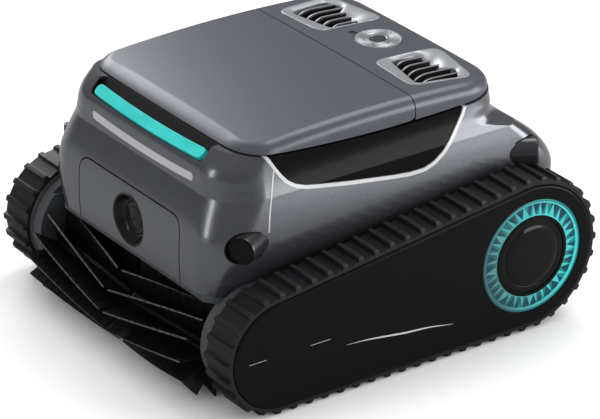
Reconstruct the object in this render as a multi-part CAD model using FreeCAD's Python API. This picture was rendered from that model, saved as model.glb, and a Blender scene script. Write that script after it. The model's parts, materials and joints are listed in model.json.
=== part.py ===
"""Cordless tracked pool cleaner, built as separate pieces in one frame.

Millimetres. The front faces -Y, +X is the cleaner's own left side and +Z is up.
The origin is on the floor under the middle of the footprint.
"""
import FreeCAD, Part
import math
import os

V = FreeCAD.Vector
X_AXIS = V(1, 0, 0)
ORIGIN = V(0, 0, 0)

# ---- driving dimensions ------------------------------------------------------------------
HALF_WIDTH = 210.0                  # outer face of a side cover
REAR_Y, REAR_Z = 148.5, 84.8        # drive wheel axis
FRONT_Y, FRONT_Z = -156.5, 65.2     # idler wheel axis
CLEAT = 4.7                         # height of a cleat above the belt
BELT_THICK = 3.6
CLEATS = 56
BELT_IN, BELT_OUT = 166.5, 207.5    # belt edges along X
RIB_IN, RIB_OUT, RIB_DEEP = 184.5, 189.5, 3.0
WHEEL_GAP = 0.4                     # wheel rim to belt
WHEEL_IN, WHEEL_OUT = 168.0, 200.5  # wheel rims along X
FRAME_IN, FRAME_OUT = 148.0, 162.0  # track frame plate along X
COVER_IN = 202.0                    # inner edge of a side cover

REAR_OUT = REAR_Z - CLEAT           # belt outer radius round each wheel
FRONT_OUT = FRONT_Z - CLEAT
REAR_IN = REAR_OUT - BELT_THICK
FRONT_IN = FRONT_OUT - BELT_THICK

GEAR_MODULE = 1.25
PINION_TEETH = 16
DRIVE_RING_TEETH = 64
IDLER_RING_TEETH = 72
GEAR_IN, GEAR_OUT = 169.5, 178.5    # pinions along X
MOTOR_Y = REAR_Y - GEAR_MODULE * (DRIVE_RING_TEETH - PINION_TEETH) / 2.0
BRUSH_Y = -186.8
BRUSH_REACH = GEAR_MODULE * (IDLER_RING_TEETH - PINION_TEETH) / 2.0
BRUSH_Z = FRONT_Z - math.sqrt(BRUSH_REACH ** 2 - (FRONT_Y - BRUSH_Y) ** 2)
BRUSH_R = 46.5
BRUSH_CORE = 13.0
BRUSH_BLADES = 12
BRUSH_IN, BRUSH_OUT = 3.4, 143.3    # one brush half along X
BRUSH_TWIST = 36.0                  # degrees a blade climbs from the middle outwards
BRUSH_SHAFT = 4.0
RUNNING = 0.05                      # radial clearance of a running fit

ROLLER_Y, ROLLER_R = -14.0, 15.6
ROLLER_Z = REAR_Z - REAR_IN + WHEEL_GAP + ROLLER_R
REAR_AXLE, FRONT_AXLE, ROLLER_AXLE = 9.0, 7.0, 5.0

# Body shell: height, half width, front, rear and corner radius of each level.
BODY_LEVELS = (
    (107.0, 148.0, -197.4, 228.0, 36.0),
    (130.0, 155.5, -198.4, 226.0, 38.0),
    (152.0, 159.5, -198.0, 221.0, 41.0),
    (176.0, 158.0, -195.0, 208.0, 44.0),
    (205.0, 153.0, -182.5, 180.0, 46.0),
    (231.0, 147.5, -180.0, 158.0, 46.0),
    (256.0, 143.0, -158.0, 148.0, 40.0),
)
WALL = 3.0
RIM_R, RIM_Y, RIM_Z = 1562.5, 39.1, 1799.8   # big cylinder that shapes the lid's lower edge
RIM_GAP = 0.3

CAP_HALF, CAP_FRONT, CAP_REAR, CAP_CORNER = 141.5, -156.4, 152.6, 32.0
CAP_TOP, CROWN_R, CAP_ROLL = 262.0, 1750.0, 17.0

HINGE_Y, HINGE_Z = 46.6, 259.0
HINGE_PIN, KNUCKLE_R = 0.8, 1.3
LID_EDGE, COVER_EDGE = 45.8, 49.4
COVER_KNUCKLES = ((-34.0, -26.0), (26.0, 34.0))
LID_KNUCKLES = ((-46.0, -34.5), (-25.5, -14.0), (14.0, 25.5), (34.5, 46.0))

DIAL_Y, DIAL_R, BUTTON_R = 107.2, 24.9, 8.2
VENT = ((46.0, 66.6), (117.0, 62.6), (125.0, 134.6), (45.0, 149.6))
VENT_CORNER = 13.0
PUMP_X, PUMP_Y = 84.0, 105.0
WINDOW = ((-131, 241), (-104, 207), (-33, 190), (30, 178), (64, 176), (82, 183), (94, 203), (105, 229))

BASKET = (105.0, -121.5, 16.0, 62.0, 226.0)  # half width, front, rear, bottom, top
BAY = (113.0, -131.0, 24.0)         # lid opening: half width, front, rear
MOUTH = (60.0, -106.0, -76.0)       # suction mouth: half width, front, rear
FLAP_Y, FLAP_Z = -112.0, 67.5       # hinge of the intake flap
BUMPERS = ((162.0, -170.4, 163.4), (156.0, 184.0, 170.0))
BUMPER_R, BUMPER_LONG, BUMPER_SPLAY = 13.5, 34.0, 28.0
CATCH_X = (-60, 60)                 # magnets that hold the lid shut
CATCH_FRONT, CATCH_BACK = -144.0, -137.0
PORT_Z = 135.0
SENSOR_Z, SENSOR_R = 139.0, 28.0
PANEL = (91.0, 109.0, 175.0)        # front panel: half width, bottom, top
BROW_Y, BROW_Z, BROW_TILT = -170.4, 239.6, 39.0   # middle and slope of the light bar


# ---- small builders ----------------------------------------------------------------------
def box(x0, x1, y0, y1, z0, z1):
    return Part.makeBox(x1 - x0, y1 - y0, z1 - z0, V(x0, y0, z0))


def rod(radius, start, end):
    return Part.makeCylinder(radius, (end - start).Length, start, end - start)


def x_rod(radius, x0, x1, y, z):
    return rod(radius, V(x0, y, z), V(x1, y, z))


def x_tube(outer, inner, x0, x1, y, z):
    return x_rod(outer, x0, x1, y, z).cut(x_rod(inner, x0 - 1, x1 + 1, y, z))


def z_rod(radius, x, y, z0, z1):
    return rod(radius, V(x, y, z0), V(x, y, z1))


def rounded(points, radius):
    """Closed wire through a polygon's corners, each rounded to the radius."""
    edges = []
    starts = []
    count = len(points)
    for i in range(count):
        corner = points[i]
        back = (points[i - 1] - corner).normalize()
        ahead = (points[(i + 1) % count] - corner).normalize()
        half = back.getAngle(ahead) / 2.0
        reach = radius / math.tan(half)
        inward = (back + ahead).normalize()
        middle = corner + inward * (radius / math.sin(half) - radius)
        starts.append((corner + back * reach, middle, corner + ahead * reach))
    for i in range(count):
        edges.append(Part.Arc(*starts[i]).toShape())
        edges.append(Part.LineSegment(starts[i][2], starts[(i + 1) % count][0]).toShape())
    return Part.Wire(edges)


def z_prism(points, radius, z0, z1, grow=0.0):
    wire = rounded([V(x, y, z0) for x, y in points], radius)
    if grow:
        wire = wire.makeOffset2D(grow)
    return Part.Face(wire).extrude(V(0, 0, z1 - z0))


def x_prism(points, radius, x0, x1, grow=0.0):
    wire = rounded([V(x0, y, z) for y, z in points], radius)
    if grow:
        wire = wire.makeOffset2D(grow)
    return Part.Face(wire).extrude(V(x1 - x0, 0, 0))


def y_prism(points, radius, y0, y1, grow=0.0):
    wire = rounded([V(x, y0, z) for x, z in points], radius)
    if grow:
        wire = wire.makeOffset2D(grow)
    return Part.Face(wire).extrude(V(0, y1 - y0, 0))


def rectangle(half, low, high):
    return ((-half, low), (half, low), (half, high), (-half, high))


def fuse(shapes):
    return shapes[0].multiFuse(shapes[1:]).removeSplitter()


def mirrored(shape):
    return shape.mirror(ORIGIN, X_AXIS)


def both(shape):
    return Part.makeCompound([shape, mirrored(shape)])


# ---- track geometry ----------------------------------------------------------------------
def track_directions(rear_r, front_r):
    """Slope of the line of wheel centres, and the outward angles of the two belt runs."""
    slope = math.atan2(REAR_Z - FRONT_Z, REAR_Y - FRONT_Y)
    span = math.hypot(REAR_Y - FRONT_Y, REAR_Z - FRONT_Z)
    open_angle = math.acos((front_r - rear_r) / span)
    return slope, slope + open_angle, slope - open_angle


def on_circle(x, y, z, radius, angle):
    return V(x, y + radius * math.cos(angle), z + radius * math.sin(angle))


def track_prism(rear_r, front_r, x0, x1):
    """Solid inside a loop round both wheel axes, extruded along X."""
    slope, top, bottom = track_directions(rear_r, front_r)
    rear = [on_circle(x0, REAR_Y, REAR_Z, rear_r, a) for a in (bottom, slope, top)]
    front = [on_circle(x0, FRONT_Y, FRONT_Z, front_r, a) for a in (top, slope + math.pi, bottom)]
    wire = Part.Wire([
        Part.Arc(*rear).toShape(),
        Part.LineSegment(rear[2], front[0]).toShape(),
        Part.Arc(*front).toShape(),
        Part.LineSegment(front[2], rear[0]).toShape(),
    ])
    return Part.Face(wire).extrude(V(x1 - x0, 0, 0))


def belt_stations(count):
    """Points evenly spaced round the belt's outer face, each with its outward angle."""
    slope, top, bottom = track_directions(REAR_OUT, FRONT_OUT)
    rear_turn = top - bottom
    front_turn = 2 * math.pi - rear_turn
    run = (on_circle(0, REAR_Y, REAR_Z, REAR_OUT, top)
           - on_circle(0, FRONT_Y, FRONT_Z, FRONT_OUT, top)).Length
    lengths = (REAR_OUT * rear_turn, run, FRONT_OUT * front_turn, run)
    stations = []
    for i in range(count):
        along = sum(lengths) * (i + 0.5) / count
        if along < lengths[0]:
            angle = bottom + along / REAR_OUT
            point = on_circle(0, REAR_Y, REAR_Z, REAR_OUT, angle)
        elif along < sum(lengths[:2]):
            angle = top
            part = (along - lengths[0]) / run
            ends = (on_circle(0, REAR_Y, REAR_Z, REAR_OUT, top),
                    on_circle(0, FRONT_Y, FRONT_Z, FRONT_OUT, top))
            point = ends[0] + (ends[1] - ends[0]) * part
        elif along < sum(lengths[:3]):
            angle = top + (along - sum(lengths[:2])) / FRONT_OUT
            point = on_circle(0, FRONT_Y, FRONT_Z, FRONT_OUT, angle)
        else:
            angle = bottom
            part = (along - sum(lengths[:3])) / run
            ends = (on_circle(0, FRONT_Y, FRONT_Z, FRONT_OUT, bottom),
                    on_circle(0, REAR_Y, REAR_Z, REAR_OUT, bottom))
            point = ends[0] + (ends[1] - ends[0]) * part
        stations.append((point, angle))
    return stations


def gear_face(teeth, x, y, z, tip, root, slack, phase):
    """Involute gear outline across X, one tooth centred on the phase angle."""
    pitch_r = GEAR_MODULE * teeth / 2.0
    base_r = pitch_r * math.cos(math.radians(20))
    involute = math.tan(math.radians(20)) - math.radians(20)
    half_pitch = math.pi / (2 * teeth) - slack / (2 * pitch_r)
    low = max(base_r, root)
    flank = [low + (tip - low) * k / 3.0 for k in range(4)]

    def half_angle(radius):
        pressure = math.acos(min(1.0, base_r / radius))
        return half_pitch + involute - (math.tan(pressure) - pressure)

    side = [(radius, half_angle(radius)) for radius in flank]
    if root < base_r:
        side.insert(0, (root, side[0][1]))
    points = []
    for tooth in range(teeth):
        centre = phase + 2 * math.pi * tooth / teeth
        points += [on_circle(x, y, z, r, centre - a) for r, a in side]
        points += [on_circle(x, y, z, r, centre + a) for r, a in reversed(side)]
    return Part.Face(Part.makePolygon(points + [points[0]]))


def pinion(y, z, phase):
    pitch_r = GEAR_MODULE * PINION_TEETH / 2.0
    face = gear_face(PINION_TEETH, GEAR_IN, y, z, pitch_r + 0.95 * GEAR_MODULE,
                     pitch_r - 1.25 * GEAR_MODULE, 0.12, phase)
    return face.extrude(V(GEAR_OUT - GEAR_IN, 0, 0))


def ring_space(teeth, y, z, x0, x1, phase):
    """The hollow inside an internal gear, teeth spaces included."""
    pitch_r = GEAR_MODULE * teeth / 2.0
    face = gear_face(teeth, x0, y, z, pitch_r + 1.25 * GEAR_MODULE,
                     pitch_r - 0.85 * GEAR_MODULE, -0.12, phase)
    return face.extrude(V(x1 - x0, 0, 0))


# ---- body geometry -----------------------------------------------------------------------
def body_solid(grow=0.0):
    """The body's outer form, grown or shrunk sideways by the given distance."""
    wires = []
    for z, half, front, rear, corner in BODY_LEVELS:
        corners = [V(x, y, z) for x, y in rectangle(half + grow, front - grow, rear + grow)]
        wires.append(rounded(corners, corner + grow))
    return Part.makeLoft(wires, True, True)


def rim_cylinder(lower=0.0):
    """Everything above the lid's lower edge, started lower by the given distance."""
    return x_rod(RIM_R + lower, -300, 300, RIM_Y, RIM_Z)


def crown_ball(sink=0.0):
    return Part.makeSphere(CROWN_R - sink, V(0, 0, CAP_TOP - CROWN_R))


def cap_solid(inset=0.0):
    """The rounded top cap that the lid and the rear cover are cut from."""
    plan = rectangle(CAP_HALF - inset, CAP_FRONT + inset, CAP_REAR - inset)
    block = z_prism(plan, CAP_CORNER - inset, 200, 300)
    block = block.common(crown_ball(inset))
    top_edges = [e for e in block.Edges if e.BoundBox.ZMin > 220]
    return block.makeFillet(CAP_ROLL - inset, top_edges)


def shell_slab(low, high):
    """Space between two heights over the body's curved deck."""
    return rim_cylinder(-low).cut(rim_cylinder(-high))


# ---- running gear ------------------------------------------------------------------------
def track_belt():
    loop = track_prism(REAR_OUT, FRONT_OUT, BELT_IN, BELT_OUT)
    loop = loop.cut(track_prism(REAR_IN, FRONT_IN, BELT_IN - 1, BELT_OUT + 1))
    rib = track_prism(REAR_IN + 0.5, FRONT_IN + 0.5, RIB_IN, RIB_OUT)
    rib = rib.cut(track_prism(REAR_IN - RIB_DEEP, FRONT_IN - RIB_DEEP, RIB_IN - 1, RIB_OUT + 1))
    pieces = [loop, rib]
    base, crest = 4.2, 2.6
    for point, angle in belt_stations(CLEATS):
        corners = ((-base, -1.5), (base, -1.5), (base, 0.0), (crest, CLEAT), (-crest, CLEAT),
                   (-base, 0.0))
        outward = V(0, math.cos(angle), math.sin(angle))
        forward = V(0, -math.sin(angle), math.cos(angle))
        wire = [V(BELT_IN, 0, 0) + point + forward * a + outward * b for a, b in corners]
        cleat = Part.Face(Part.makePolygon(wire + [wire[0]])).extrude(V(BELT_OUT - BELT_IN, 0, 0))
        pieces.append(cleat)
    return fuse(pieces)


def rim_groove(radius, y, z):
    return x_tube(radius + 2, radius - RIB_DEEP - 0.6, RIB_IN - 1, RIB_OUT + 1, y, z)


def drive_wheel():
    radius = REAR_IN - WHEEL_GAP
    ring_phase = math.pi
    rim = x_tube(radius, radius - 7.5, WHEEL_IN, WHEEL_OUT, REAR_Y, REAR_Z)
    web = x_rod(radius - 6, 180, 184, REAR_Y, REAR_Z)
    gear = x_rod(47.5, WHEEL_IN, 181, REAR_Y, REAR_Z)
    gear = gear.cut(ring_space(DRIVE_RING_TEETH, REAR_Y, REAR_Z, WHEEL_IN - 1, 180, ring_phase))
    hub = x_rod(16, 179, WHEEL_OUT, REAR_Y, REAR_Z)
    wheel = fuse([rim, web, gear, hub])
    cuts = [x_rod(REAR_AXLE + RUNNING, 160, 210, REAR_Y, REAR_Z), rim_groove(radius, REAR_Y, REAR_Z)]
    for k in range(6):
        spot = on_circle(0, REAR_Y, REAR_Z, 58.0, math.radians(60 * k + 30))
        cuts.append(x_rod(7.5, 179, 186, spot.y, spot.z))
    return wheel.cut(Part.makeCompound(cuts))


def idler_wheel():
    radius = FRONT_IN - WHEEL_GAP
    phase = math.atan2(BRUSH_Z - FRONT_Z, BRUSH_Y - FRONT_Y)
    rim = x_tube(radius, radius - 7.0, WHEEL_IN, WHEEL_OUT, FRONT_Y, FRONT_Z)
    gear = x_rod(radius - 1, WHEEL_IN, 184, FRONT_Y, FRONT_Z)
    gear = gear.cut(ring_space(IDLER_RING_TEETH, FRONT_Y, FRONT_Z, WHEEL_IN - 1, 180, phase))
    hub = x_rod(13, 179, WHEEL_OUT, FRONT_Y, FRONT_Z)
    wheel = fuse([rim, gear, hub])
    cuts = [x_rod(FRONT_AXLE + RUNNING, 160, 210, FRONT_Y, FRONT_Z),
            rim_groove(radius, FRONT_Y, FRONT_Z)]
    for k in range(5):
        spot = on_circle(0, FRONT_Y, FRONT_Z, 30.0, math.radians(72 * k))
        cuts.append(x_rod(7.0, 179, 186, spot.y, spot.z))
    return wheel.cut(Part.makeCompound(cuts))


def guide_roller():
    roller = x_tube(ROLLER_R, ROLLER_AXLE + RUNNING, WHEEL_IN, WHEEL_OUT, ROLLER_Y, ROLLER_Z)
    return roller.cut(rim_groove(ROLLER_R, ROLLER_Y, ROLLER_Z))


def motor_pinion():
    gear = pinion(MOTOR_Y, REAR_Z, math.pi)
    shaft = x_rod(3.0, 132, GEAR_OUT + 0.5, MOTOR_Y, REAR_Z)
    return fuse([gear, shaft])


def drive_motor():
    can = x_rod(17.0, 66, 145, MOTOR_Y, REAR_Z)
    neck = x_rod(10.0, 60, 66, MOTOR_Y, REAR_Z)
    bore = x_rod(3.0 + RUNNING, 131.5, 146, MOTOR_Y, REAR_Z)
    return fuse([can, neck]).cut(bore)


def stub_axles():
    ends = ((REAR_AXLE, REAR_Y, REAR_Z), (FRONT_AXLE, FRONT_Y, FRONT_Z),
            (ROLLER_AXLE, ROLLER_Y, ROLLER_Z))
    return [x_rod(radius, FRAME_IN, COVER_IN, y, z) for radius, y, z in ends]


def track_frame():
    plate = track_prism(REAR_IN - 6.0, FRONT_IN - 1.5, FRAME_IN, FRAME_OUT)
    plate = plate.common(box(FRAME_IN, FRAME_OUT, -260, 260, 0, 106.6))
    nose = x_rod(FRONT_IN - 1.5, 152.6, FRAME_OUT, FRONT_Y, FRONT_Z)
    nose = nose.common(box(FRAME_IN, FRAME_OUT, -260, -118, 100, 140))
    plate = fuse([plate, nose])
    cuts = stub_axles()
    cuts.append(x_rod(BRUSH_SHAFT + RUNNING, 140, 170, BRUSH_Y, BRUSH_Z))
    cuts.append(x_rod(4.0, 140, 170, MOTOR_Y, REAR_Z))
    for low, high in ((-92, -40), (10, 66)):
        pocket = x_prism(((low, 38), (high, 38), (high, 92), (low, 92)), 8, 152, FRAME_OUT + 1)
        cuts.append(pocket)
    return plate.cut(Part.makeCompound(cuts))


def hub_screw():
    shank = x_rod(2.5, 186, 205, REAR_Y, REAR_Z)
    head = x_rod(5.0, 204.2, 207, REAR_Y, REAR_Z)
    return fuse([shank, head])


def side_cover():
    cover = track_prism(REAR_IN - 0.4, FRONT_IN - 0.4, COVER_IN, HALF_WIDTH)
    outer_edges = [e for e in cover.Edges if e.BoundBox.XMin > HALF_WIDTH - 0.1]
    cover = cover.makeFillet(3.0, outer_edges)
    pocket = track_prism(REAR_IN - 3.4, FRONT_IN - 3.4, COVER_IN - 1, 207.4)
    bosses = [x_rod(65.0, COVER_IN + 0.4, 208, REAR_Y, REAR_Z),
              x_rod(15.0, COVER_IN, 208, REAR_Y, REAR_Z),
              x_rod(12.0, COVER_IN, 208, FRONT_Y, FRONT_Z),
              x_rod(9.0, COVER_IN, 208, ROLLER_Y, ROLLER_Z)]
    cover = fuse([cover.cut(pocket)] + bosses)
    channel = x_tube(61.5, 44.0, 204.8, 211, REAR_Y, REAR_Z)
    recess = x_rod(40.0, 207.0, 211, REAR_Y, REAR_Z)
    return cover.cut(Part.makeCompound([channel, recess])).cut(hub_screw())


def light_ring():
    ring = x_tube(61.5, 44.0, 204.8, 208.6, REAR_Y, REAR_Z)
    notches = []
    for k in range(36):
        spot = on_circle(0, REAR_Y, REAR_Z, 53.0, math.radians(10 * k))
        notch = box(207.4, 210, -0.8, 0.8, -6.0, 6.0)
        notch.rotate(ORIGIN, X_AXIS, 10 * k + 90)
        notch.translate(V(0, spot.y, spot.z))
        notches.append(notch)
    return ring.cut(Part.makeCompound(notches))


def hub_cap():
    base = x_rod(40.0, 207.0, 208.2, REAR_Y, REAR_Z)
    dome_r = (33.0 ** 2 + 1.8 ** 2) / (2 * 1.8)
    ball = Part.makeSphere(dome_r, V(HALF_WIDTH - dome_r, REAR_Y, REAR_Z))
    dome = x_rod(33.0, 207.5, 211, REAR_Y, REAR_Z).common(ball)
    return fuse([base, dome])


def brush_shaft():
    gear = pinion(BRUSH_Y, BRUSH_Z, math.atan2(BRUSH_Z - FRONT_Z, BRUSH_Y - FRONT_Y))
    return fuse([gear, x_rod(BRUSH_SHAFT, 0.4, GEAR_OUT + 0.5, BRUSH_Y, BRUSH_Z)])


def brush_half():
    """Rubber sleeve with blades that climb outwards in a chevron."""
    steps = 4
    thick = 1.3
    root = BRUSH_CORE - 1.0
    wires = []
    for k in range(steps + 1):
        x = BRUSH_IN + (BRUSH_OUT - BRUSH_IN) * k / steps
        corners = [V(x, -root, -thick), V(x, -BRUSH_R + 0.05, -thick),
                   V(x, -BRUSH_R + 0.05, thick), V(x, -root, thick)]
        wire = Part.makePolygon(corners + [corners[0]])
        wire.rotate(ORIGIN, X_AXIS, -BRUSH_TWIST * k / steps)
        wires.append(wire)
    blade = Part.makeLoft(wires, True, True)
    pieces = [x_rod(BRUSH_CORE, BRUSH_IN, BRUSH_OUT, 0, 0)]
    for k in range(BRUSH_BLADES):
        turned = blade.copy()
        turned.rotate(ORIGIN, X_AXIS, 360.0 * k / BRUSH_BLADES)
        pieces.append(turned)
    half = fuse(pieces).cut(x_rod(BRUSH_SHAFT, -5, 160, 0, 0))
    half.translate(V(0, BRUSH_Y, BRUSH_Z))
    return half


# ---- chassis and body --------------------------------------------------------------------
def chassis_base():
    outline = ((-128, 22), (192, 22), (224, 74), (224, 107), (-194, 107), (-194, 100),
               (-128, 100))
    wire = [V(-148, y, z) for y, z in outline]
    tub = Part.Face(Part.makePolygon(wire + [wire[0]])).extrude(V(296, 0, 0))
    tub = tub.common(z_prism(rectangle(148, -197.4, 228), 36, 0, 200))
    tub = tub.cut(x_rod(BRUSH_R + 4.5, -200, 200, BRUSH_Y, BRUSH_Z))
    inside = ((-125, 25), (190.3, 25), (221, 75), (221, 110), (-125, 110))
    wire = [V(-145, y, z) for y, z in inside]
    hollow = Part.Face(Part.makePolygon(wire + [wire[0]])).extrude(V(290, 0, 0))
    hollow = hollow.common(z_prism(rectangle(145, -194, 225), 33, 0, 200))
    tub = tub.cut(hollow)
    half, front, rear = MOUTH
    tunnel = box(-half - 6, half + 6, front - 8, rear + 6, 24, 61.7)
    bulkhead = box(-145, 145, 28, 30.5, 24, 106)
    bracket = box(-2.6, 2.6, -160, -125, 40, 100.5)
    bracket = fuse([bracket, x_rod(9, -2.6, 2.6, BRUSH_Y, BRUSH_Z),
                    box(-2.6, 2.6, BRUSH_Y, -150, BRUSH_Z - 5, BRUSH_Z + 5)])
    tub = fuse([tub, tunnel, bulkhead, bracket])
    cuts = [box(-half, half, front, rear, 10, 70),
            x_rod(BRUSH_SHAFT + RUNNING, -4, 4, BRUSH_Y, BRUSH_Z),
            x_rod(4.0, -160, 160, MOTOR_Y, REAR_Z)]
    for x in (-100, -50, 0, 50, 100):
        cuts.append(box(x - 14, x + 14, 20, 40, 66, 96))
    return tub.cut(Part.makeCompound(cuts)).cut(Part.makeCompound(floor_screws()))


def floor_screws():
    spots = [(x, y) for x in (-128, 128) for y in (-110, 20, 170)]
    screws = []
    for x, y in spots:
        screws.append(fuse([z_rod(4.0, x, y, 19.6, 22), z_rod(2.0, x, y, 21, 25)]))
    return screws


def window_prism(grow=0.0):
    return x_prism(WINDOW, 7.0, 120, 170, grow)


def bumper(place, radius=BUMPER_R, rounding=3.0, ahead=0.0):
    """Rubber corner bumper: a short round rod that points out of a body corner."""
    x, y, z = place
    angle = math.radians(BUMPER_SPLAY)
    out = V(math.sin(angle), math.copysign(math.cos(angle), y), 0)
    tip = V(x, y, z)
    solid = rod(radius, tip - out * BUMPER_LONG, tip + out * ahead)
    if rounding:
        cap = [e for e in solid.Edges if (e.CenterOfMass - tip).Length < 0.1]
        solid = solid.makeFillet(rounding, cap)
    return solid


def bumpers():
    solids = [bumper(place) for place in BUMPERS]
    return solids + [mirrored(solid) for solid in solids]


def led_plate(half, height, corner, low, high):
    """Round-ended plate lying on the sloping front brow, between two depths along its normal."""
    points = ((-half, -height / 2), (half, -height / 2), (half, height / 2), (-half, height / 2))
    plate = z_prism(points, corner, low, high)
    plate.rotate(ORIGIN, X_AXIS, BROW_TILT)
    plate.translate(V(0, BROW_Y, BROW_Z))
    return plate


def upper_shell():
    outer = body_solid().cut(rim_cylinder(RIM_GAP))
    inner = body_solid(-WALL).cut(rim_cylinder(RIM_GAP + WALL))
    shell = outer.cut(inner)
    cuts = [z_prism(rectangle(*BAY), 14, 180, 300)]
    vent = z_prism(VENT, VENT_CORNER, 180, 300, 0.4)
    window = window_prism(2.2)
    for shape in (vent, window):
        cuts += [shape, mirrored(shape)]
    cuts.append(z_rod(DIAL_R + 3, 0, DIAL_Y, 180, 300))
    cuts.append(y_prism(rectangle(*PANEL), 16, -230, -180, 0.8))
    cuts.append(led_plate(101, 21, 9, -7, 30))
    cuts.append(trim_bar())
    cuts.append(rod(12.0, V(0, 205, PORT_Z), V(0, 240, PORT_Z)))
    cuts += catch_blocks()
    shell = shell.cut(Part.makeCompound(cuts))
    return shell.cut(Part.makeCompound(bumpers()))


def front_panel():
    """Slab that fills the groove-edged opening in the body's nose."""
    back = -193.0
    outline = [(level[2], level[0]) for level in BODY_LEVELS[:4]]
    outline += [(back, BODY_LEVELS[3][0]), (back, BODY_LEVELS[0][0])]
    wire = [V(-PANEL[0] - 5, y, z) for y, z in outline]
    slab = Part.Face(Part.makePolygon(wire + [wire[0]])).extrude(V(2 * PANEL[0] + 10, 0, 0))
    panel = slab.common(y_prism(rectangle(*PANEL), 16, -230, -180))
    return panel.cut(rod(SENSOR_R, V(0, -230, SENSOR_Z), V(0, -150, SENSOR_Z)))


def sensor_bezel():
    body = rod(SENSOR_R, V(0, -198.0, SENSOR_Z), V(0, -184.0, SENSOR_Z))
    cone = Part.makeCone(25.5, 17.0, 9.0, V(0, -198.2, SENSOR_Z), V(0, 1, 0))
    return body.cut(fuse([cone, rod(17.0, V(0, -190, SENSOR_Z), V(0, -180, SENSOR_Z))]))


def sensor_lens():
    lens = rod(17.0, V(0, -190.0, SENSOR_Z), V(0, -184.0, SENSOR_Z))
    face = [e for e in lens.Edges if e.BoundBox.YMax < -189.9]
    return lens.makeFillet(1.5, face)


def side_window():
    glass = body_solid(-1.0).cut(body_solid(-WALL))
    return glass.common(window_prism())


def window_trim():
    strip = body_solid(0.5).cut(body_solid(-WALL))
    return strip.common(window_prism(2.2).cut(window_prism()))


def led_housing():
    return led_plate(101, 21, 9, -7, 0.5).cut(led_plate(96.5, 13, 6, -3.5, 2))


def led_diffuser():
    return led_plate(96.5, 13, 6, -3.5, 1.5)


def trim_bar():
    return y_prism(rectangle(92, 214, 220), 2.9, -200, -170)


def led_trim():
    """Bright bar let into the brow under the light bar."""
    return trim_bar().common(body_solid(0.4).cut(body_solid(-1.5)))


def charge_port():
    body = rod(12.0, V(0, 207, PORT_Z), V(0, 228, PORT_Z))
    pins = [rod(1.6, V(x, 222, PORT_Z), V(x, 230, PORT_Z)) for x in (-5, 5)]
    return body.cut(Part.makeCompound(pins))


def bay_seal():
    half, front, rear = BAY
    ring = z_prism(rectangle(half + 6, front - 5.0, rear + 5.0), 17, 220, 270)
    ring = ring.cut(z_prism(rectangle(half + 1.5, front - 0.8, rear + 1.0), 13, 210, 280))
    return ring.common(shell_slab(-RIM_GAP, 1.6))


# ---- lid, rear cover and their fittings --------------------------------------------------
def knuckle(span, y0, y1):
    start, end = span
    barrel = x_rod(KNUCKLE_R, start, end, HINGE_Y, HINGE_Z)
    return fuse([barrel, box(start, end, min(y0, y1), max(y0, y1), HINGE_Z - 1.1, HINGE_Z + 1.1)])


def hinge_bore(radius):
    return x_rod(radius, -70, 70, HINGE_Y, HINGE_Z)


def lid():
    outer = cap_solid().common(rim_cylinder())
    outer = outer.common(box(-200, 200, -200, LID_EDGE, 200, 300))
    inner = cap_solid(WALL).common(box(-200, 200, -200, LID_EDGE - 5, 200, 300))
    shell = outer.cut(inner)
    bosses = [box(x - 8, x + 8, CATCH_FRONT - 1.5, CATCH_BACK + 0.8, 248.2, 253.5) for x in CATCH_X]
    tabs = [knuckle(span, HINGE_Y, LID_EDGE - 2) for span in LID_KNUCKLES]
    shell = fuse([shell] + bosses + tabs)
    notches = [box(a - 0.5, b + 0.5, LID_EDGE - 2.9, HINGE_Y + 3, HINGE_Z - 2.6, 270)
               for a, b in COVER_KNUCKLES]
    cuts = notches + [hinge_bore(HINGE_PIN + RUNNING)] + lid_magnets()
    return shell.cut(Part.makeCompound(cuts))


def lid_magnets():
    return [box(x - 6, x + 6, CATCH_FRONT, CATCH_BACK, 248.2, 251.0) for x in CATCH_X]


def catch_blocks():
    return [box(x - 6, x + 6, CATCH_FRONT, CATCH_BACK, 245.0, 246.9) for x in CATCH_X]


def rear_cover():
    outer = cap_solid().common(rim_cylinder())
    outer = outer.common(box(-200, 200, COVER_EDGE, 200, 200, 300))
    inner = cap_solid(WALL).common(box(-200, 200, COVER_EDGE + 2.5, 200, 200, 300))
    shell = outer.cut(inner)
    hole = z_prism(VENT, VENT_CORNER, 150, 300)
    shell = shell.cut(Part.makeCompound([hole, mirrored(hole)]))
    chute = z_prism(VENT, VENT_CORNER, 205, 300)
    chute = chute.cut(z_prism(VENT, VENT_CORNER, 208, 300, -2.5))
    chute = chute.common(crown_ball(2.0))
    throat = fuse([z_rod(31.5, PUMP_X, PUMP_Y, 180, 206), chute])
    throat = throat.cut(z_rod(29.0, PUMP_X, PUMP_Y, 170, 300))
    tabs = [knuckle(span, HINGE_Y, COVER_EDGE + 1) for span in COVER_KNUCKLES]
    shell = fuse([shell, throat, mirrored(throat)] + tabs)
    notches = [box(a - 0.5, b + 0.5, HINGE_Y - 1, COVER_EDGE + 0.0, HINGE_Z - 2, HINGE_Z + 2)
               for a, b in LID_KNUCKLES]
    cuts = [hinge_bore(HINGE_PIN), z_rod(DIAL_R, 0, DIAL_Y, 240, 300)] + notches
    return shell.cut(Part.makeCompound(cuts))


def outlet_bezel():
    ring = z_prism(VENT, VENT_CORNER, 240, 300)
    ring = ring.cut(z_prism(VENT, VENT_CORNER, 230, 310, -4.0))
    return ring.common(crown_ball(-0.7)).cut(crown_ball(2.0))


def outlet_louvres():
    bars = [box(40, 130, y, y + 3, 238, 242) for y in (84, 120)]
    fins = [box(x - 1.1, x + 1.1, 60, 152, 236, 262) for x in (58, 70, 82, 94, 106)]
    grille = fuse(fins + bars)
    grille = grille.common(z_prism(VENT, VENT_CORNER, 200, 300, -2.5))
    return grille.common(crown_ball(2.2))


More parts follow.
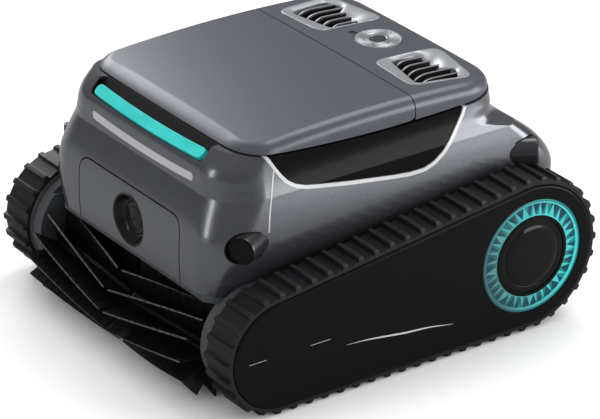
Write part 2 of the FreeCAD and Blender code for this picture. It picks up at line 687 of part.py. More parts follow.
def control_ring():
    ring = z_rod(DIAL_R, 0, DIAL_Y, 255.0, 259.5).cut(z_rod(BUTTON_R + 0.3, 0, DIAL_Y, 250, 262))
    top = [e for e in ring.Edges if e.BoundBox.ZMin > 259.4]
    return ring.makeFillet(0.5, top)


def power_button():
    button = z_rod(BUTTON_R, 0, DIAL_Y, 253.0, 259.9)
    top = [e for e in button.Edges if e.BoundBox.ZMin > 259.8]
    return button.makeFillet(0.8, top)


# ---- inside pieces -----------------------------------------------------------------------
def filter_basket():
    half, front, rear, low, high = BASKET
    wall = 2.5
    tub = z_prism(rectangle(half, front, rear), 12, low, high)
    rim = z_prism(rectangle(half + 4, front - 4, rear + 3.5), 14, high - 3, high)
    tub = fuse([tub, rim])
    tub = tub.cut(z_prism(rectangle(half - wall, front + wall, rear - wall), 9.5, low + wall, high + 1))
    cuts = [box(-MOUTH[0], MOUTH[0], MOUTH[1], MOUTH[2], low - 1, low + 4)]
    middle = (front + rear) / 2.0
    for side in (-1, 1):
        centre = middle + side * 34.0
        shape = ((centre - 28, low + 14), (centre + 28, low + 14), (centre + 28, high - 16),
                 (centre - 28, high - 16))
        cuts.append(x_prism(shape, 6, -half - 5, half + 5))
        shape = ((side * 46 - 40, low + 14), (side * 46 + 40, low + 14), (side * 46 + 40, high - 16),
                 (side * 46 - 40, high - 16))
        cuts.append(y_prism(shape, 6, front - 5, rear + 5))
    tub = tub.cut(Part.makeCompound(cuts))
    ears = [box(x - 2.5, x + 2.5, FLAP_Y - 3, FLAP_Y + 3, low + 2, FLAP_Z + 3) for x in (-67.5, 67.5)]
    tub = fuse([tub] + ears)
    return tub.cut(x_rod(1.2 + RUNNING, -80, 80, FLAP_Y, FLAP_Z))


def filter_screen():
    half, front, rear, low, high = BASKET
    outer = z_prism(rectangle(half - 2.5, front + 2.5, rear - 2.5), 9.5, low + 10, high - 12)
    return outer.cut(z_prism(rectangle(half - 3.5, front + 3.5, rear - 3.5), 8.5, low, high))


def basket_handle():
    half, top = BASKET[0], BASKET[4]
    bar = box(-half, half, -64, -54, top + 8, top + 12)
    legs = [box(x - 2, x + 2, -64, -54, top, top + 9) for x in (-half + 2, half - 2)]
    return fuse([bar] + legs)


def intake_flap():
    low = BASKET[3] + 2.8
    plate = box(-63, 63, FLAP_Y, MOUTH[2] + 3, low, low + 2)
    barrel = x_rod(2.2, -64, 64, FLAP_Y, FLAP_Z)
    pins = x_rod(1.2, -69.5, 69.5, FLAP_Y, FLAP_Z)
    return fuse([plate, barrel, pins])


def battery_pack():
    pack = box(-108, 108, 40, 140, 25, 64)
    return pack.makeFillet(4.0, [e for e in pack.Edges if e.BoundBox.ZLength > 30])


def control_box():
    case = box(-70, 70, 150, 186, 25, 60)
    return case.makeFillet(3.0, [e for e in case.Edges if e.BoundBox.ZLength > 30])


def pump_motor():
    can = z_rod(17.0, PUMP_X, PUMP_Y, 112, 170)
    arms = [box(PUMP_X - 31.5, PUMP_X + 31.5, PUMP_Y - 2, PUMP_Y + 2, 166, 170),
            box(PUMP_X - 2, PUMP_X + 2, PUMP_Y - 31.5, PUMP_Y + 31.5, 166, 170)]
    ring = z_rod(31.5, PUMP_X, PUMP_Y, 166, 180).cut(z_rod(29.0, PUMP_X, PUMP_Y, 160, 190))
    bore = z_rod(2.5 + RUNNING, PUMP_X, PUMP_Y, 155, 175)
    return fuse([can, ring] + arms).cut(bore)


def impeller():
    disc = z_rod(26.0, PUMP_X, PUMP_Y, 178, 180.5)
    hub = z_rod(8.0, PUMP_X, PUMP_Y, 178, 200)
    shaft = z_rod(2.5, PUMP_X, PUMP_Y, 156, 180)
    pieces = [disc, hub, shaft]
    for k in range(6):
        blade = box(PUMP_X + 6, PUMP_X + 26, PUMP_Y - 1, PUMP_Y + 1, 179, 196)
        blade.rotate(V(PUMP_X, PUMP_Y, 0), V(0, 0, 1), 60 * k)
        pieces.append(blade)
    return fuse(pieces)


# ---- assembly ----------------------------------------------------------------------------
def build():
    axles = [axle.cut(hub_screw()) for axle in stub_axles()]
    screws = floor_screws() + [hub_screw(), mirrored(hub_screw())]
    single = {
        "chassis_base": chassis_base(),
        "upper_shell": upper_shell(),
        "front_panel": front_panel(),
        "rear_cover": rear_cover(),
        "lid": lid(),
        "hinge_pin": x_rod(HINGE_PIN, -46.0, 46.0, HINGE_Y, HINGE_Z),
        "lid_magnets": Part.makeCompound(lid_magnets()),
        "catch_plates": Part.makeCompound(catch_blocks()),
        "led_housing": led_housing(),
        "led_diffuser": led_diffuser(),
        "led_trim": led_trim(),
        "sensor_bezel": sensor_bezel(),
        "sensor_lens": sensor_lens(),
        "window_trims": both(window_trim()),
        "corner_bumpers": Part.makeCompound(bumpers()),
        "outlet_louvres": both(outlet_louvres()),
        "control_ring": control_ring(),
        "power_button": power_button(),
        "filter_basket": filter_basket(),
        "filter_screen": filter_screen(),
        "basket_handle": basket_handle(),
        "bay_seal": bay_seal(),
        "intake_flap": intake_flap(),
        "battery_pack": battery_pack(),
        "control_box": control_box(),
        "charge_port": charge_port(),
        "stub_axles": Part.makeCompound(axles + [mirrored(a) for a in axles]),
        "screws": Part.makeCompound(screws),
    }
    paired = {
        "side_window": side_window(),
        "outlet_bezel": outlet_bezel(),
        "pump_motor": pump_motor(),
        "impeller": impeller(),
        "drive_motor": drive_motor(),
        "motor_pinion": motor_pinion(),
        "drive_wheel": drive_wheel(),
        "idler_wheel": idler_wheel(),
        "guide_roller": guide_roller(),
        "track_belt": track_belt(),
        "track_frame": track_frame(),
        "side_cover": side_cover(),
        "light_ring": light_ring(),
        "hub_cap": hub_cap(),
        "brush": brush_half(),
        "brush_shaft": brush_shaft(),
    }
    for name, shape in paired.items():
        single[name + "_left"] = shape
        single[name + "_right"] = mirrored(shape)
    return single


os.makedirs("parts", exist_ok=True)
for node, shape in build().items():
    shape.exportStep("parts/%s.step" % node)
    print(node, len(shape.Solids), round(shape.Volume / 1000.0, 2), shape.isValid())
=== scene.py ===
"""Looks of the cordless tracked pool cleaner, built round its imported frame.

Sizes are millimetres in the frame's own axes: the front faces -Y, +X is the cleaner's left and
+Z is up. They become metres where a mesh is made.
"""
import bmesh
import bpy
import json
import math
import numpy as np
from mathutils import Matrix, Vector


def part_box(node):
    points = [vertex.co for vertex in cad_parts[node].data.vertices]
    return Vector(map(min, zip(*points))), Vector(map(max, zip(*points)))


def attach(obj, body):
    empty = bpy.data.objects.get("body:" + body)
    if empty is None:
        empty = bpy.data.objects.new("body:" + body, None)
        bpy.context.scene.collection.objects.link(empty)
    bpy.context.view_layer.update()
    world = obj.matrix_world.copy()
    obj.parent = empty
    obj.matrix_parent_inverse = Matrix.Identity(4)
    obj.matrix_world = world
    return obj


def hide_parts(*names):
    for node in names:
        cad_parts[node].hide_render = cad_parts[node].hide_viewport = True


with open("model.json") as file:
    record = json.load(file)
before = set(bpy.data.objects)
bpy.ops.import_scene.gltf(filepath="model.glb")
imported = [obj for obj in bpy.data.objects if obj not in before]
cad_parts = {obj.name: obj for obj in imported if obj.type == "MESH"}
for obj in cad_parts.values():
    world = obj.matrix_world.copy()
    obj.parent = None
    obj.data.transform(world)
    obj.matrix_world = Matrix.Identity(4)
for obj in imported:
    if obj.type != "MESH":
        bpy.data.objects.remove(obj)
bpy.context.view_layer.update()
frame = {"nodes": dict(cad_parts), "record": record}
MM = 0.001


def middle(node):
    """Centre of a CAD node's box."""
    low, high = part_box(node)
    return np.array((low + high) / 2) / MM


# ---- sizes -------------------------------------------------------------------------------
REAR = middle("drive_wheel_left")           # wheel axes
FRONT = middle("idler_wheel_left")
CLEAT, CLEATS = 4.7, 56                     # height and number of the belt's bars
REAR_OUT, FRONT_OUT = REAR[2] - CLEAT, FRONT[2] - CLEAT   # radii of the belt between its bars

# Body shell: height, half width, front, rear, front corner and rear corner radius of each level.
LEVELS = np.array((
    (107.0, 148.0, -197.4, 228.5, 36.0, 36.0),
    (130.0, 155.5, -198.4, 229.0, 38.0, 34.0),
    (152.0, 159.5, -198.0, 226.0, 41.0, 33.0),
    (170.0, 158.8, -196.2, 215.0, 43.0, 29.0),
    (188.0, 156.2, -190.0, 197.0, 45.0, 23.0),
    (205.0, 153.0, -182.5, 175.0, 46.0, 17.0),
    (214.0, 151.0, -182.0, 164.0, 46.0, 40.0),
    (231.0, 147.5, -180.0, 161.5, 46.0, 46.0),
    (256.0, 143.5, -158.0, 162.0, 42.0, 44.0)))
CREASE_ROW, BROW_ROW = 5, 7
WALL = 3.0                                  # thickness of the body's and the cap's skin
RIM_R, RIM_Y, RIM_Z = 1562.5, 39.1, 1799.8  # cylinder that shapes the lid's lower edge
CAP = (143.5, -169.0, 162.0, 47.0)          # top cap: half width, front, rear, corner
CAP_TOP, CROWN_X, CROWN_Y = 262.0, 8000.0, 1750.0     # crown's top, its radii across and along
ROLL_FRONT, ROLL_SIDE = 32.0, 12.5          # radius of the cap's rolled edge
LID_EDGE, COVER_EDGE = 48.2, 49.4           # either side of the seam between lid and rear cover
GAP = 1.3                                   # shadow line between the body and the cap
BAY = (113.0, -131.0, 24.0, 14.0)           # opening under the lid: half width, front, rear, corner
# Side window and the thin stripe ahead of it, as (y, z).
WINDOW = ((-134, 252), (-128.2, 243.7), (-121.3, 232.4), (-115.5, 224), (-109.5, 217),
          (-101, 211.4), (-89.6, 207.3), (-73.4, 204.3), (-38, 198.4), (15, 191), (34, 189),
          (51, 189), (63.6, 192.8), (75.6, 200), (84.9, 208.9), (93.1, 219.1), (102.2, 231),
          (106, 238.5), (110, 250))
STRIPE = ((-138.6, 172), (-136.9, 172), (-134.2, 189), (-130.6, 203), (-123.6, 231),
          (-125.2, 231), (-132.2, 203), (-135.9, 189))
TRIM = 3.6                                  # width of the window's bright frame
SIDE = (120.0, 175.0)                       # a side wall lies between these distances in x
VENT = ((46.0, 66.6), (117.0, 62.6), (125.0, 134.6), (45.0, 149.6))     # water outlet, as (x, y)
FIN_FOOT = 236.0                            # lower edge of the outlet's blades
NOSE = (91.0, 80.0, 175.0, 16.0)            # nose panel: half width, lower and upper edge, corner
NOSE_Y = (-230.0, -180.0)                   # the front wall lies between these in y
SENSOR_R, SENSOR_Z = 28.0, 139.0
BROW = np.array((0.0, -170.4, 239.6))       # middle of the sloping brow
BROW_TILT = math.radians(39.0)
BROW_Y = (-200.0, -170.0)                   # the brow's strip is cut between these in y
BOW, STRIP_BOW = 3.0, (3.2, 3.2)            # sag of the light bar and of the strip under it
BAR = (96.3, 12.9)                          # light bar: half length, height
TRAY = (101.1, -7.5, 17.1)                  # its recess: half length, lower and upper edge
BAR_FOOT = -4.4                             # depth of the bar's back
STRIP = (-88.0, 93.0, 213.4, 222.0)         # pale strip under the light bar, a painted reflection: ends in x, edges in z
BUMPERS = ((160.8, -172.2, 162.2), (159.6, 190.0, 172.5))   # outer ends of the left rollers
KNOB_R, POD_R = 14.8, 16.2                  # corner rollers and the pockets round them
BUMPER_SPLAY = math.radians(28.0)           # turn of a roller's axis away from the Y axis
DIAL = np.array((0.0, 107.2, 259.5))        # control's middle
DIAL_R = 25.3
BRUSH_R, BRUSH_IN, BRUSH_OUT = 46.3, 3.4, 143.3     # tip radius, inner and outer end
BRUSH_BLADES = BRUSH_FINGERS = 12
BRUSH_TWIST = math.radians(36.0)


# ---- exact forms -------------------------------------------------------------------------
def smooth_curve(z, heights, values):
    """Cubic curve through the values, with slopes taken from their neighbours."""
    slopes = np.gradient(values, heights)
    i = np.clip(np.searchsorted(heights, z) - 1, 0, len(heights) - 2)
    step = heights[i + 1] - heights[i]
    t = np.clip((z - heights[i]) / step, 0, 1)
    a, b = values[i], values[i + 1]
    ma, mb = slopes[i] * step, slopes[i + 1] * step
    return (a * (2 * t**3 - 3 * t**2 + 1) + ma * (t**3 - 2 * t**2 + t)
            + b * (3 * t**2 - 2 * t**3) + mb * (t**3 - t**2))


def body_plan(z):
    """Half width, front, rear and both corner radii of the body at each height."""
    z = np.asarray(z, float)
    low, high = LEVELS[:CREASE_ROW + 1], LEVELS[CREASE_ROW:]
    return [np.where(z < LEVELS[CREASE_ROW, 0], smooth_curve(z, low[:, 0], low[:, c]),
                     smooth_curve(z, high[:, 0], high[:, c])) for c in range(1, 6)]


def plan_distance(x, y, half, front, rear, corner):
    """Signed distance to a rounded rectangle."""
    qx = np.abs(x) - (half - corner)
    qy = np.abs(y - (front + rear) / 2) - ((rear - front) / 2 - corner)
    outside = np.hypot(np.maximum(qx, 0), np.maximum(qy, 0))
    return outside + np.minimum(np.maximum(qx, qy), 0) - corner


def body_field(p):
    *plan, corner, rear_corner = body_plan(p[:, 2])
    return plan_distance(p[:, 0], p[:, 1], *plan, np.where(p[:, 1] > 0, rear_corner, corner))


def crown_height(x, y, above=0.0):
    return CAP_TOP - x**2 / (2 * CROWN_X) - y**2 / (2 * CROWN_Y) + above


def cap_roll(p):
    """Radius of the cap's edge: wide along the front, tighter round the sides and rear."""
    half, front, _, corner = CAP
    side = np.maximum(np.abs(p[:, 0]) - (half - corner), 1e-6)
    ahead = np.maximum(front + corner - p[:, 1], 0)
    part = np.arctan2(ahead, side) / (math.pi / 2)
    return ROLL_SIDE + (ROLL_FRONT - ROLL_SIDE) * part**2 * (3 - 2 * part)


def cap_field(p):
    roll = cap_roll(p)
    side = plan_distance(p[:, 0], p[:, 1], *CAP) + roll
    crown = p[:, 2] - crown_height(p[:, 0], p[:, 1]) + roll
    outside = np.hypot(np.maximum(side, 0), np.maximum(crown, 0))
    return outside + np.minimum(np.maximum(side, crown), 0) - roll


def deck_field(p):
    return np.hypot(p[:, 1] - RIM_Y, p[:, 2] - RIM_Z)


def rim(y, drop=0.0):
    return RIM_Z - np.sqrt((RIM_R + drop)**2 - (y - RIM_Y)**2)


FOLLOWS = 0.93                              # least cosine between a face and the form it follows


def gradient(field, p, h=0.05):
    """Unit normals of a form at points near its surface."""
    g = np.stack([field(p + h * e) - field(p - h * e) for e in np.eye(3)], 1)
    return g / np.maximum(np.linalg.norm(g, axis=1, keepdims=True), 1e-9)


# ---- mesh helpers ------------------------------------------------------------------------
ARC, RUN = 12, 10                           # steps round a plan's corner and along its side
BOW_STEP = 7.0                              # longest edge of a sagging outline
TURNED = 48                                 # steps round a small turned form


def mesh_object(name, verts, faces, marks=None):
    mesh = bpy.data.meshes.new(name)
    mesh.from_pydata([tuple(v) for v in np.asarray(verts, float) * MM], [], faces)
    if marks is not None:
        mesh.polygons.foreach_set("material_index", marks)
    work = bmesh.new()
    work.from_mesh(mesh)
    bmesh.ops.remove_doubles(work, verts=work.verts, dist=1e-7)
    bmesh.ops.recalc_face_normals(work, faces=work.faces)
    work.to_mesh(mesh)
    work.free()
    made = bpy.data.objects.new(name, mesh)
    bpy.context.scene.collection.objects.link(made)
    return made


def ring_faces(count, size, closed, start=0):
    faces = []
    for i in range(count if closed else count - 1):
        a, b = start + i * size, start + (i + 1) % count * size
        faces += [(a + k, a + (k + 1) % size, b + (k + 1) % size, b + k) for k in range(size)]
    return faces


def ring_mesh(name, rings, closed=False, poles=False):
    """Surface through rings of equal size; open ends get one flat face or a fan to a pole."""
    count, size = len(rings), len(rings[0])
    verts = np.concatenate(rings)
    faces = ring_faces(count, size, closed)
    if not closed:
        for base, ring in ((0, rings[0]), ((count - 1) * size, rings[-1])):
            if poles:
                verts = np.concatenate([verts, [np.mean(ring, axis=0)]])
                faces += [(base + k, base + (k + 1) % size, len(verts) - 1) for k in range(size)]
            else:
                faces.append(tuple(range(base, base + size)))
    return mesh_object(name, verts, faces)


def plan_ring(half, front, rear, corner):
    """Outline of a rounded rectangle with the same points whatever its size, front right first."""
    side = ARC + RUN
    half, front, rear, corner = (np.broadcast_to(np.asarray(v, float), 4 * side)
                                 for v in (half, front, rear, corner))
    points = np.zeros((4 * side, 2))

    def on_arc(i, part, k):
        sign, back = ((1, 0), (1, 1), (-1, 1), (-1, 0))[i % 4]
        angle = math.radians(90 * (i % 4) - 90 + 90 * part)
        c = corner[k]
        x = sign * (half[k] - c) + c * math.cos(angle)
        y = (rear[k] - c if back else front[k] + c) + c * math.sin(angle)
        return np.array((x, y))

    for k in range(4 * side):
        i, j = divmod(k, side)
        if j <= ARC:
            points[k] = on_arc(i, j / ARC, k)
        else:
            part = (j - ARC) / RUN
            points[k] = on_arc(i, 1, k) * (1 - part) + on_arc(i + 1, 0, k) * part
    return points


def at_height(ring, z):
    return np.column_stack([ring, np.broadcast_to(z, len(ring))])


def soften(points, radius, steps=6):
    """Polygon with each corner rounded to the radius."""
    out = []
    points = [np.array(p, float) for p in points]
    for i, corner in enumerate(points):
        back, ahead = points[i - 1] - corner, points[(i + 1) % len(points)] - corner
        lb, la = np.linalg.norm(back), np.linalg.norm(ahead)
        back, ahead = back / lb, ahead / la
        half = math.acos(np.clip(back @ ahead, -1, 1)) / 2
        reach = min(radius / math.tan(half), 0.49 * min(lb, la))
        a, b = corner + back * reach, corner + ahead * reach
        for k in range(steps + 1):
            t = k / steps
            out.append(a * (1 - t)**2 + corner * 2 * t * (1 - t) + b * t**2)
    return np.array(out)


def grown(outline, by):
    """Outline moved outwards by a distance."""
    ahead = np.roll(outline, -1, axis=0) - np.roll(outline, 1, axis=0)
    normal = np.column_stack([ahead[:, 1], -ahead[:, 0]])
    normal /= np.linalg.norm(normal, axis=1, keepdims=True)
    x, y = outline.T
    area = np.sum(x * np.roll(y, -1) - np.roll(x, -1) * y)
    return outline + normal * by * np.sign(area)


def bowed(outline, low, high):
    """Outline whose lower and upper edges sag by two depths towards the middle."""
    fine = []
    for a, b in zip(outline, np.roll(outline, -1, axis=0)):
        count = max(1, int(np.linalg.norm(b - a) // BOW_STEP))
        fine += [a + (b - a) * i / count for i in range(count)]
    fine = np.array(fine)
    first, last = fine.min(axis=0), fine.max(axis=0)
    along = (2 * fine[:, 0] - first[0] - last[0]) / (last[0] - first[0])
    up = (fine[:, 1] - first[1]) / (last[1] - first[1])
    fine[:, 1] -= (1 - along ** 2) * (low + (high - low) * up)
    return fine


def lift(outline, axis, value):
    """Outline set in space at a place along the axis."""
    columns = list(outline.T)
    columns.insert("xyz".index(axis), np.full(len(outline), float(value)))
    return np.column_stack(columns)


def prism(outline, axis, low, high):
    """Straight form with the outline as its section."""
    return ring_mesh("cutter", [lift(outline, axis, low), lift(outline, axis, high)])


def rectangle(x0, x1, y0, y1):
    return np.array(((x0, y0), (x1, y0), (x1, y1), (x0, y1)), float)


def frame_of(axis):
    """Two unit vectors square to the axis."""
    axis = np.array(axis, float) / np.linalg.norm(axis)
    side = np.cross(axis, (0, 0, 1.0) if abs(axis[2]) < 0.9 else (1.0, 0, 0))
    side /= np.linalg.norm(side)
    return axis, side, np.cross(axis, side)


def lathe(name, profile, centre, axis, steps=64, closed=False):
    """Turned form: profile of (radius, distance along the axis)."""
    axis, u, v = frame_of(axis)
    angles = np.arange(steps) * 2 * math.pi / steps
    around = np.outer(np.cos(angles), u) + np.outer(np.sin(angles), v)
    rings = [np.array(centre) + axis * h + around * max(r, 1e-3) for r, h in profile]
    return ring_mesh(name, rings, closed=closed)


def carve(target, cutters, operation="DIFFERENCE"):
    """Cuts solids out of the target, or keeps what it shares with them, and removes them."""
    for cutter in cutters:
        modifier = target.modifiers.new("carve", "BOOLEAN")
        modifier.operation = operation
        modifier.solver = "EXACT"
        modifier.object = cutter
    bpy.context.view_layer.update()
    solid = target.evaluated_get(bpy.context.evaluated_depsgraph_get())
    mesh = bpy.data.meshes.new_from_object(solid)
    target.modifiers.clear()
    target.data = mesh
    mesh.materials.clear()
    for cutter in cutters:
        bpy.data.objects.remove(cutter)
    return target


def flipped(target, name):
    """Mirror image across the middle plane, with the same sharp edges."""
    mesh = target.data.copy()
    co = np.empty(len(mesh.vertices) * 3)
    mesh.vertices.foreach_get("co", co)
    co[::3] *= -1
    mesh.vertices.foreach_set("co", co)
    mesh.flip_normals()
    made = bpy.data.objects.new(name, mesh)
    bpy.context.scene.collection.objects.link(made)
    if target.modifiers:
        weigh_normals(made)
    return made


def joined(name, parts, marks=None):
    """One object from several; marks give each part's material index."""
    verts, faces, index = [], [], []
    for k, part in enumerate(parts):
        mesh, base = part.data, len(verts)
        verts += [tuple(v.co / MM) for v in mesh.vertices]
        faces += [tuple(base + i for i in f.vertices) for f in mesh.polygons]
        index += [marks[k] if marks else f.material_index for f in mesh.polygons]
        bpy.data.objects.remove(part)
    return mesh_object(name, verts, faces, index)


def read(things, key, width=1, kind=float):
    """One property of all vertices, loops or polygons."""
    out = np.empty(len(things) * width, kind)
    things.foreach_get(key, out)
    return out.reshape(-1, width) if width > 1 else out


def paint_faces(target, indices):
    target.data.polygons.foreach_set("material_index", indices)


def exact_normals(target, *fields):
    """Normals from the exact forms where a face follows one of them, flat normals elsewhere."""
    mesh = target.data
    co = read(mesh.vertices, "co", 3) / MM
    corner = read(mesh.loops, "vertex_index", 1, int)
    total = read(mesh.polygons, "loop_total", 1, int)
    face = np.repeat(np.arange(len(total)), total)
    flat = read(mesh.polygons, "normal", 3)[face]
    centre = read(mesh.polygons, "center", 3)[face] / MM
    spot = co[corner] * 0.9 + centre * 0.1
    best = np.full(len(face), FOLLOWS)
    out = flat.copy()
    for field in fields:
        g = gradient(field, spot)
        dot = np.sum(g * flat, axis=1)
        better = np.abs(dot) > best
        best = np.where(better, np.abs(dot) + 0.01, best)
        out = np.where(better[:, None], g * np.sign(dot)[:, None], out)
    mesh.polygons.foreach_set("use_smooth", np.ones(len(total), bool))
    mesh.normals_split_custom_set(out)


def weigh_normals(target):
    target.modifiers.new("normals", "WEIGHTED_NORMAL").keep_sharp = True


def soft_edges(target, angle, width=0.0):
    """Smooth shading split at edges sharper than the angle; a width bevels them too."""
    mesh = target.data
    mesh.polygons.foreach_set("use_smooth", np.ones(len(mesh.polygons), bool))
    mesh.set_sharp_from_angle(angle=math.radians(angle))
    if width:
        bevel = target.modifiers.new("edges", "BEVEL")
        bevel.width = width * MM
        bevel.segments = 1
        bevel.limit_method = "ANGLE"
        bevel.angle_limit = math.radians(angle)
    weigh_normals(target)


def place(target, name, body, slot, *nodes, paints=None):
    """Names a piece, gives it materials and a body, and hides the frame's parts it replaces;
    without paints it takes the slot's material.
    """
    marks = read(target.data.polygons, "material_index", 1, int)
    target.name = name
    target.data.materials.clear()
    for paint in paints or (slot,):
        target.data.materials.append(M[paint])
    paint_faces(target, marks)
    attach(target, body)
    if nodes:
        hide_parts(*nodes)


# ---- materials ---------------------------------------------------------------------------
def linear(r, g, b):
    return tuple(c / 12.92 if c <= 0.04045 else ((c + 0.055) / 1.055)**2.4
                 for c in (r / 255, g / 255, b / 255))


def add_node(tree, kind, values=None, **settings):
    """New shader node; its settings come before the values of its sockets."""
    node = tree.nodes.new("ShaderNode" + kind)
    for key, value in settings.items():
        setattr(node, key, value)
    for socket, value in (values or {}).items():
        node.inputs[socket].default_value = value
    return node


def wire(tree, *links):
    for source, out, target, into in links:
        tree.links.new(source.outputs[out], target.inputs[into])


def add_mix(tree, low, high):
    return add_node(tree, "Mix", {"A": (*low, 1), "B": (*high, 1)}, data_type="RGBA")


def make_material(name, colour, rough, metal=0.0, coat=0.0, coat_rough=0.04, specular=0.5,
                  grain=900.0, bump=0.04, vary=0.10, patch=14.0):
    """Plastic, rubber or metal: broad tint patches, uneven gloss and a fine moulded grain."""
    made = bpy.data.materials.new(name)
    made.use_nodes = True
    tree = made.node_tree
    shader = tree.nodes["Principled BSDF"]
    for socket, value in (("Metallic", metal), ("Coat Weight", coat),
                          ("Coat Roughness", coat_rough), ("Specular IOR Level", specular)):
        shader.inputs[socket].default_value = value
    rgb = linear(*colour)
    where = add_node(tree, "TexCoord")
    broad = add_node(tree, "TexNoise", {"Scale": patch, "Detail": 3.0})
    fine = add_node(tree, "TexNoise", {"Scale": grain, "Detail": 2.0})
    tint = add_mix(tree, [c * (1 - vary) for c in rgb], [c * (1 + vary) for c in rgb])
    gloss = add_node(tree, "MapRange", {
        "From Min": 0.3, "From Max": 0.7, "To Min": rough * (1 - UNEVEN),
        "To Max": min(1.0, rough * (1 + UNEVEN))})
    relief = add_node(tree, "Bump", {"Strength": bump, "Distance": GRAIN_DEPTH})
    wire(tree, (where, "Object", broad, "Vector"), (where, "Object", fine, "Vector"),
         (broad, "Fac", tint, "Factor"), (tint, "Result", shader, "Base Color"),
         (fine, "Fac", gloss, "Value"), (gloss, "Result", shader, "Roughness"),
         (fine, "Fac", relief, "Height"), (relief, "Normal", shader, "Normal"))
    return made


def make_lamp(name, colour, deep, strength, centre=None):
    """Lit plastic; with a centre, its glow carries painted light and shade, bright on one side of
    the ring and dim on the other.
    """
    made = make_material(name, (4, 20, 22), 0.25, coat=0.1, specular=0.3, bump=0.02)
    tree = made.node_tree
    shader = tree.nodes["Principled BSDF"]
    shader.inputs["Emission Strength"].default_value = strength
    where = add_node(tree, "TexCoord")
    glow = add_mix(tree, linear(*deep), linear(*colour))
    if centre is None:
        noise = add_node(tree, "TexNoise", {"Scale": 60.0})
        level = add_node(tree, "MapRange", {"From Min": 0.35, "From Max": 0.6})
        wire(tree, (where, "Object", noise, "Vector"), (noise, "Fac", level, "Value"))
    else:
        shift = add_node(tree, "VectorMath", {1: centre}, operation="SUBTRACT")
        along = add_node(tree, "VectorMath", {1: PAINTED_LIGHT_TOWARDS}, operation="DOT_PRODUCT")
        level = add_node(tree, "MapRange", {"From Min": -0.052, "From Max": 0.030})
        wire(tree, (where, "Object", shift, 0), (shift, "Vector", along, 0),
             (along, "Value", level, "Value"))
    wire(tree, (level, "Result", glow, "Factor"), (glow, "Result", shader, "Emission Color"))
    return made


UNEVEN, GRAIN_DEPTH = 0.12, 0.0004          # share the gloss varies by, depth of the grain
PAINTED_LIGHT_TOWARDS = (0.0, 0.96, 0.28)             # side of the lit rings given painted light; the far side gets painted shade
PAINTS = (                                  # name, sRGB colour, roughness, other settings
    ("body_metallic", (104, 106, 111), 0.27,
     dict(metal=0.85, coat=0.6, grain=2600, bump=0.03, vary=0.04)),
    ("lid_satin", (84, 86, 94), 0.38,
     dict(metal=0.45, coat=0.2, coat_rough=0.25, grain=3200, bump=0.03, vary=0.03)),
    ("cover_gloss", (14, 14, 15), 0.2,
     dict(coat=0.06, coat_rough=0.08, specular=0.07, grain=1400, bump=0.02)),
    ("dark_gloss", (15, 15, 16), 0.25, dict(coat=0.1, specular=0.2)),
    ("chassis_plastic", (22, 23, 25), 0.5, dict(specular=0.2, grain=1500, bump=0.10)),
    ("inner_plastic", (38, 40, 44), 0.55, dict(specular=0.35, grain=1500, bump=0.10)),
    ("louvre_plastic", (22, 23, 24), 0.42, dict(specular=0.4, bump=0.05)),
    ("gear_plastic", (196, 196, 188), 0.45, dict(bump=0.05)),
    ("filter_mesh", (132, 140, 146), 0.8, dict(grain=500, bump=0.4)),
    ("track_rubber", (22, 23, 25), 0.45, dict(specular=0.3, grain=1100, bump=0.18, vary=0.14)),
    ("brush_rubber", (13, 13, 14), 0.42, dict(specular=0.22, bump=0.08)),
    ("black_rubber", (24, 24, 25), 0.38, dict(bump=0.10)),
    ("seal_rubber", (28, 28, 30), 0.6, dict(specular=0.3, bump=0.15)),
    ("silver_trim", (184, 185, 187), 0.34,
     dict(metal=0.4, coat=0.2, grain=2200, bump=0.03, vary=0.04)),
    ("silver_satin", (158, 160, 164), 0.36,
     dict(metal=0.5, coat=0.15, grain=2200, vary=0.05)),
    ("steel", (190, 190, 192), 0.28, dict(metal=1.0, grain=1800)),
    ("motor_metal", (140, 142, 146), 0.4, dict(metal=1.0, grain=1200)),
    ("smoked_glass", (9, 9, 10), 0.08,
     dict(coat=0.04, coat_rough=0.02, specular=0.06, grain=300, bump=0.0, vary=0.3)),
    # paler grey for the brush fingers' outer edges: a painted highlight
    ("tip_painted_highlight", (62, 63, 66), 0.5,
     dict(specular=0.3, grain=140, bump=0.1, vary=0.75, patch=170.0)),
    ("hub_gloss", (11, 11, 12), 0.14,
     dict(coat=0.2, coat_rough=0.06, specular=0.12, grain=1400, bump=0.02)),
    # dull near-black for the light bar's recess: its own dark plastic, deepened as painted shade
    ("recess_painted_shade", (10, 11, 12), 0.4, dict(specular=0.12, grain=1200)),
    # grey metallic for the rollers' round sides: a painted highlight on black rubber
    ("knob_painted_sheen", (52, 53, 55), 0.24, dict(metal=0.5, coat=0.4, grain=1200)),
    # paler metal for the crease's upper faces: a painted highlight
    ("ridge_painted_highlight", (122, 123, 124), 0.3, dict(metal=0.6, grain=1200)),
    ("dial_metal", (142, 144, 148), 0.36,
     dict(metal=0.7, grain=420, bump=0.7, vary=0.35, patch=240.0)),
    ("pale_mark", (150, 150, 152), 0.5, dict(grain=1500)))
BAR_LAMPS = (                               # name, brightest and dimmest colour, strength
    ("light_lens", (62, 214, 208), (52, 204, 199), 0.92),
    # darker glow for the bar's bevel and ends: painted shade
    ("light_side_painted_shade", (14, 138, 134), (12, 122, 122), 0.85))
# name, colour on the painted-light side, colour on the painted-shade side, strength
RING_LAMPS = (
    # painted glints on the ring's wedges
    ("ring_painted_glint", (66, 218, 212), (92, 140, 144), 0.9),
    # painted shade on the ring's wedges
    ("ring_painted_shade", (6, 66, 96), (36, 84, 88), 0.7),
    ("ring_soft", (24, 138, 142), (48, 98, 104), 0.85),
    ("ring_line", (92, 224, 218), (70, 116, 122), 0.9))
M = {name: make_material(name, colour, rough, **other) for name, colour, rough, other in PAINTS}
M |= {lamp[0]: make_lamp(*lamp) for lamp in BAR_LAMPS}
M |= {lamp[0]: make_lamp(*lamp, centre=tuple(REAR * MM)) for lamp in RING_LAMPS}

for material in frame["record"]["materials"]:
    for node in material.get("nodes", []):
        piece = frame["nodes"][node]
        piece.data.materials.clear()
        piece.data.materials.append(M[material["slot"]])


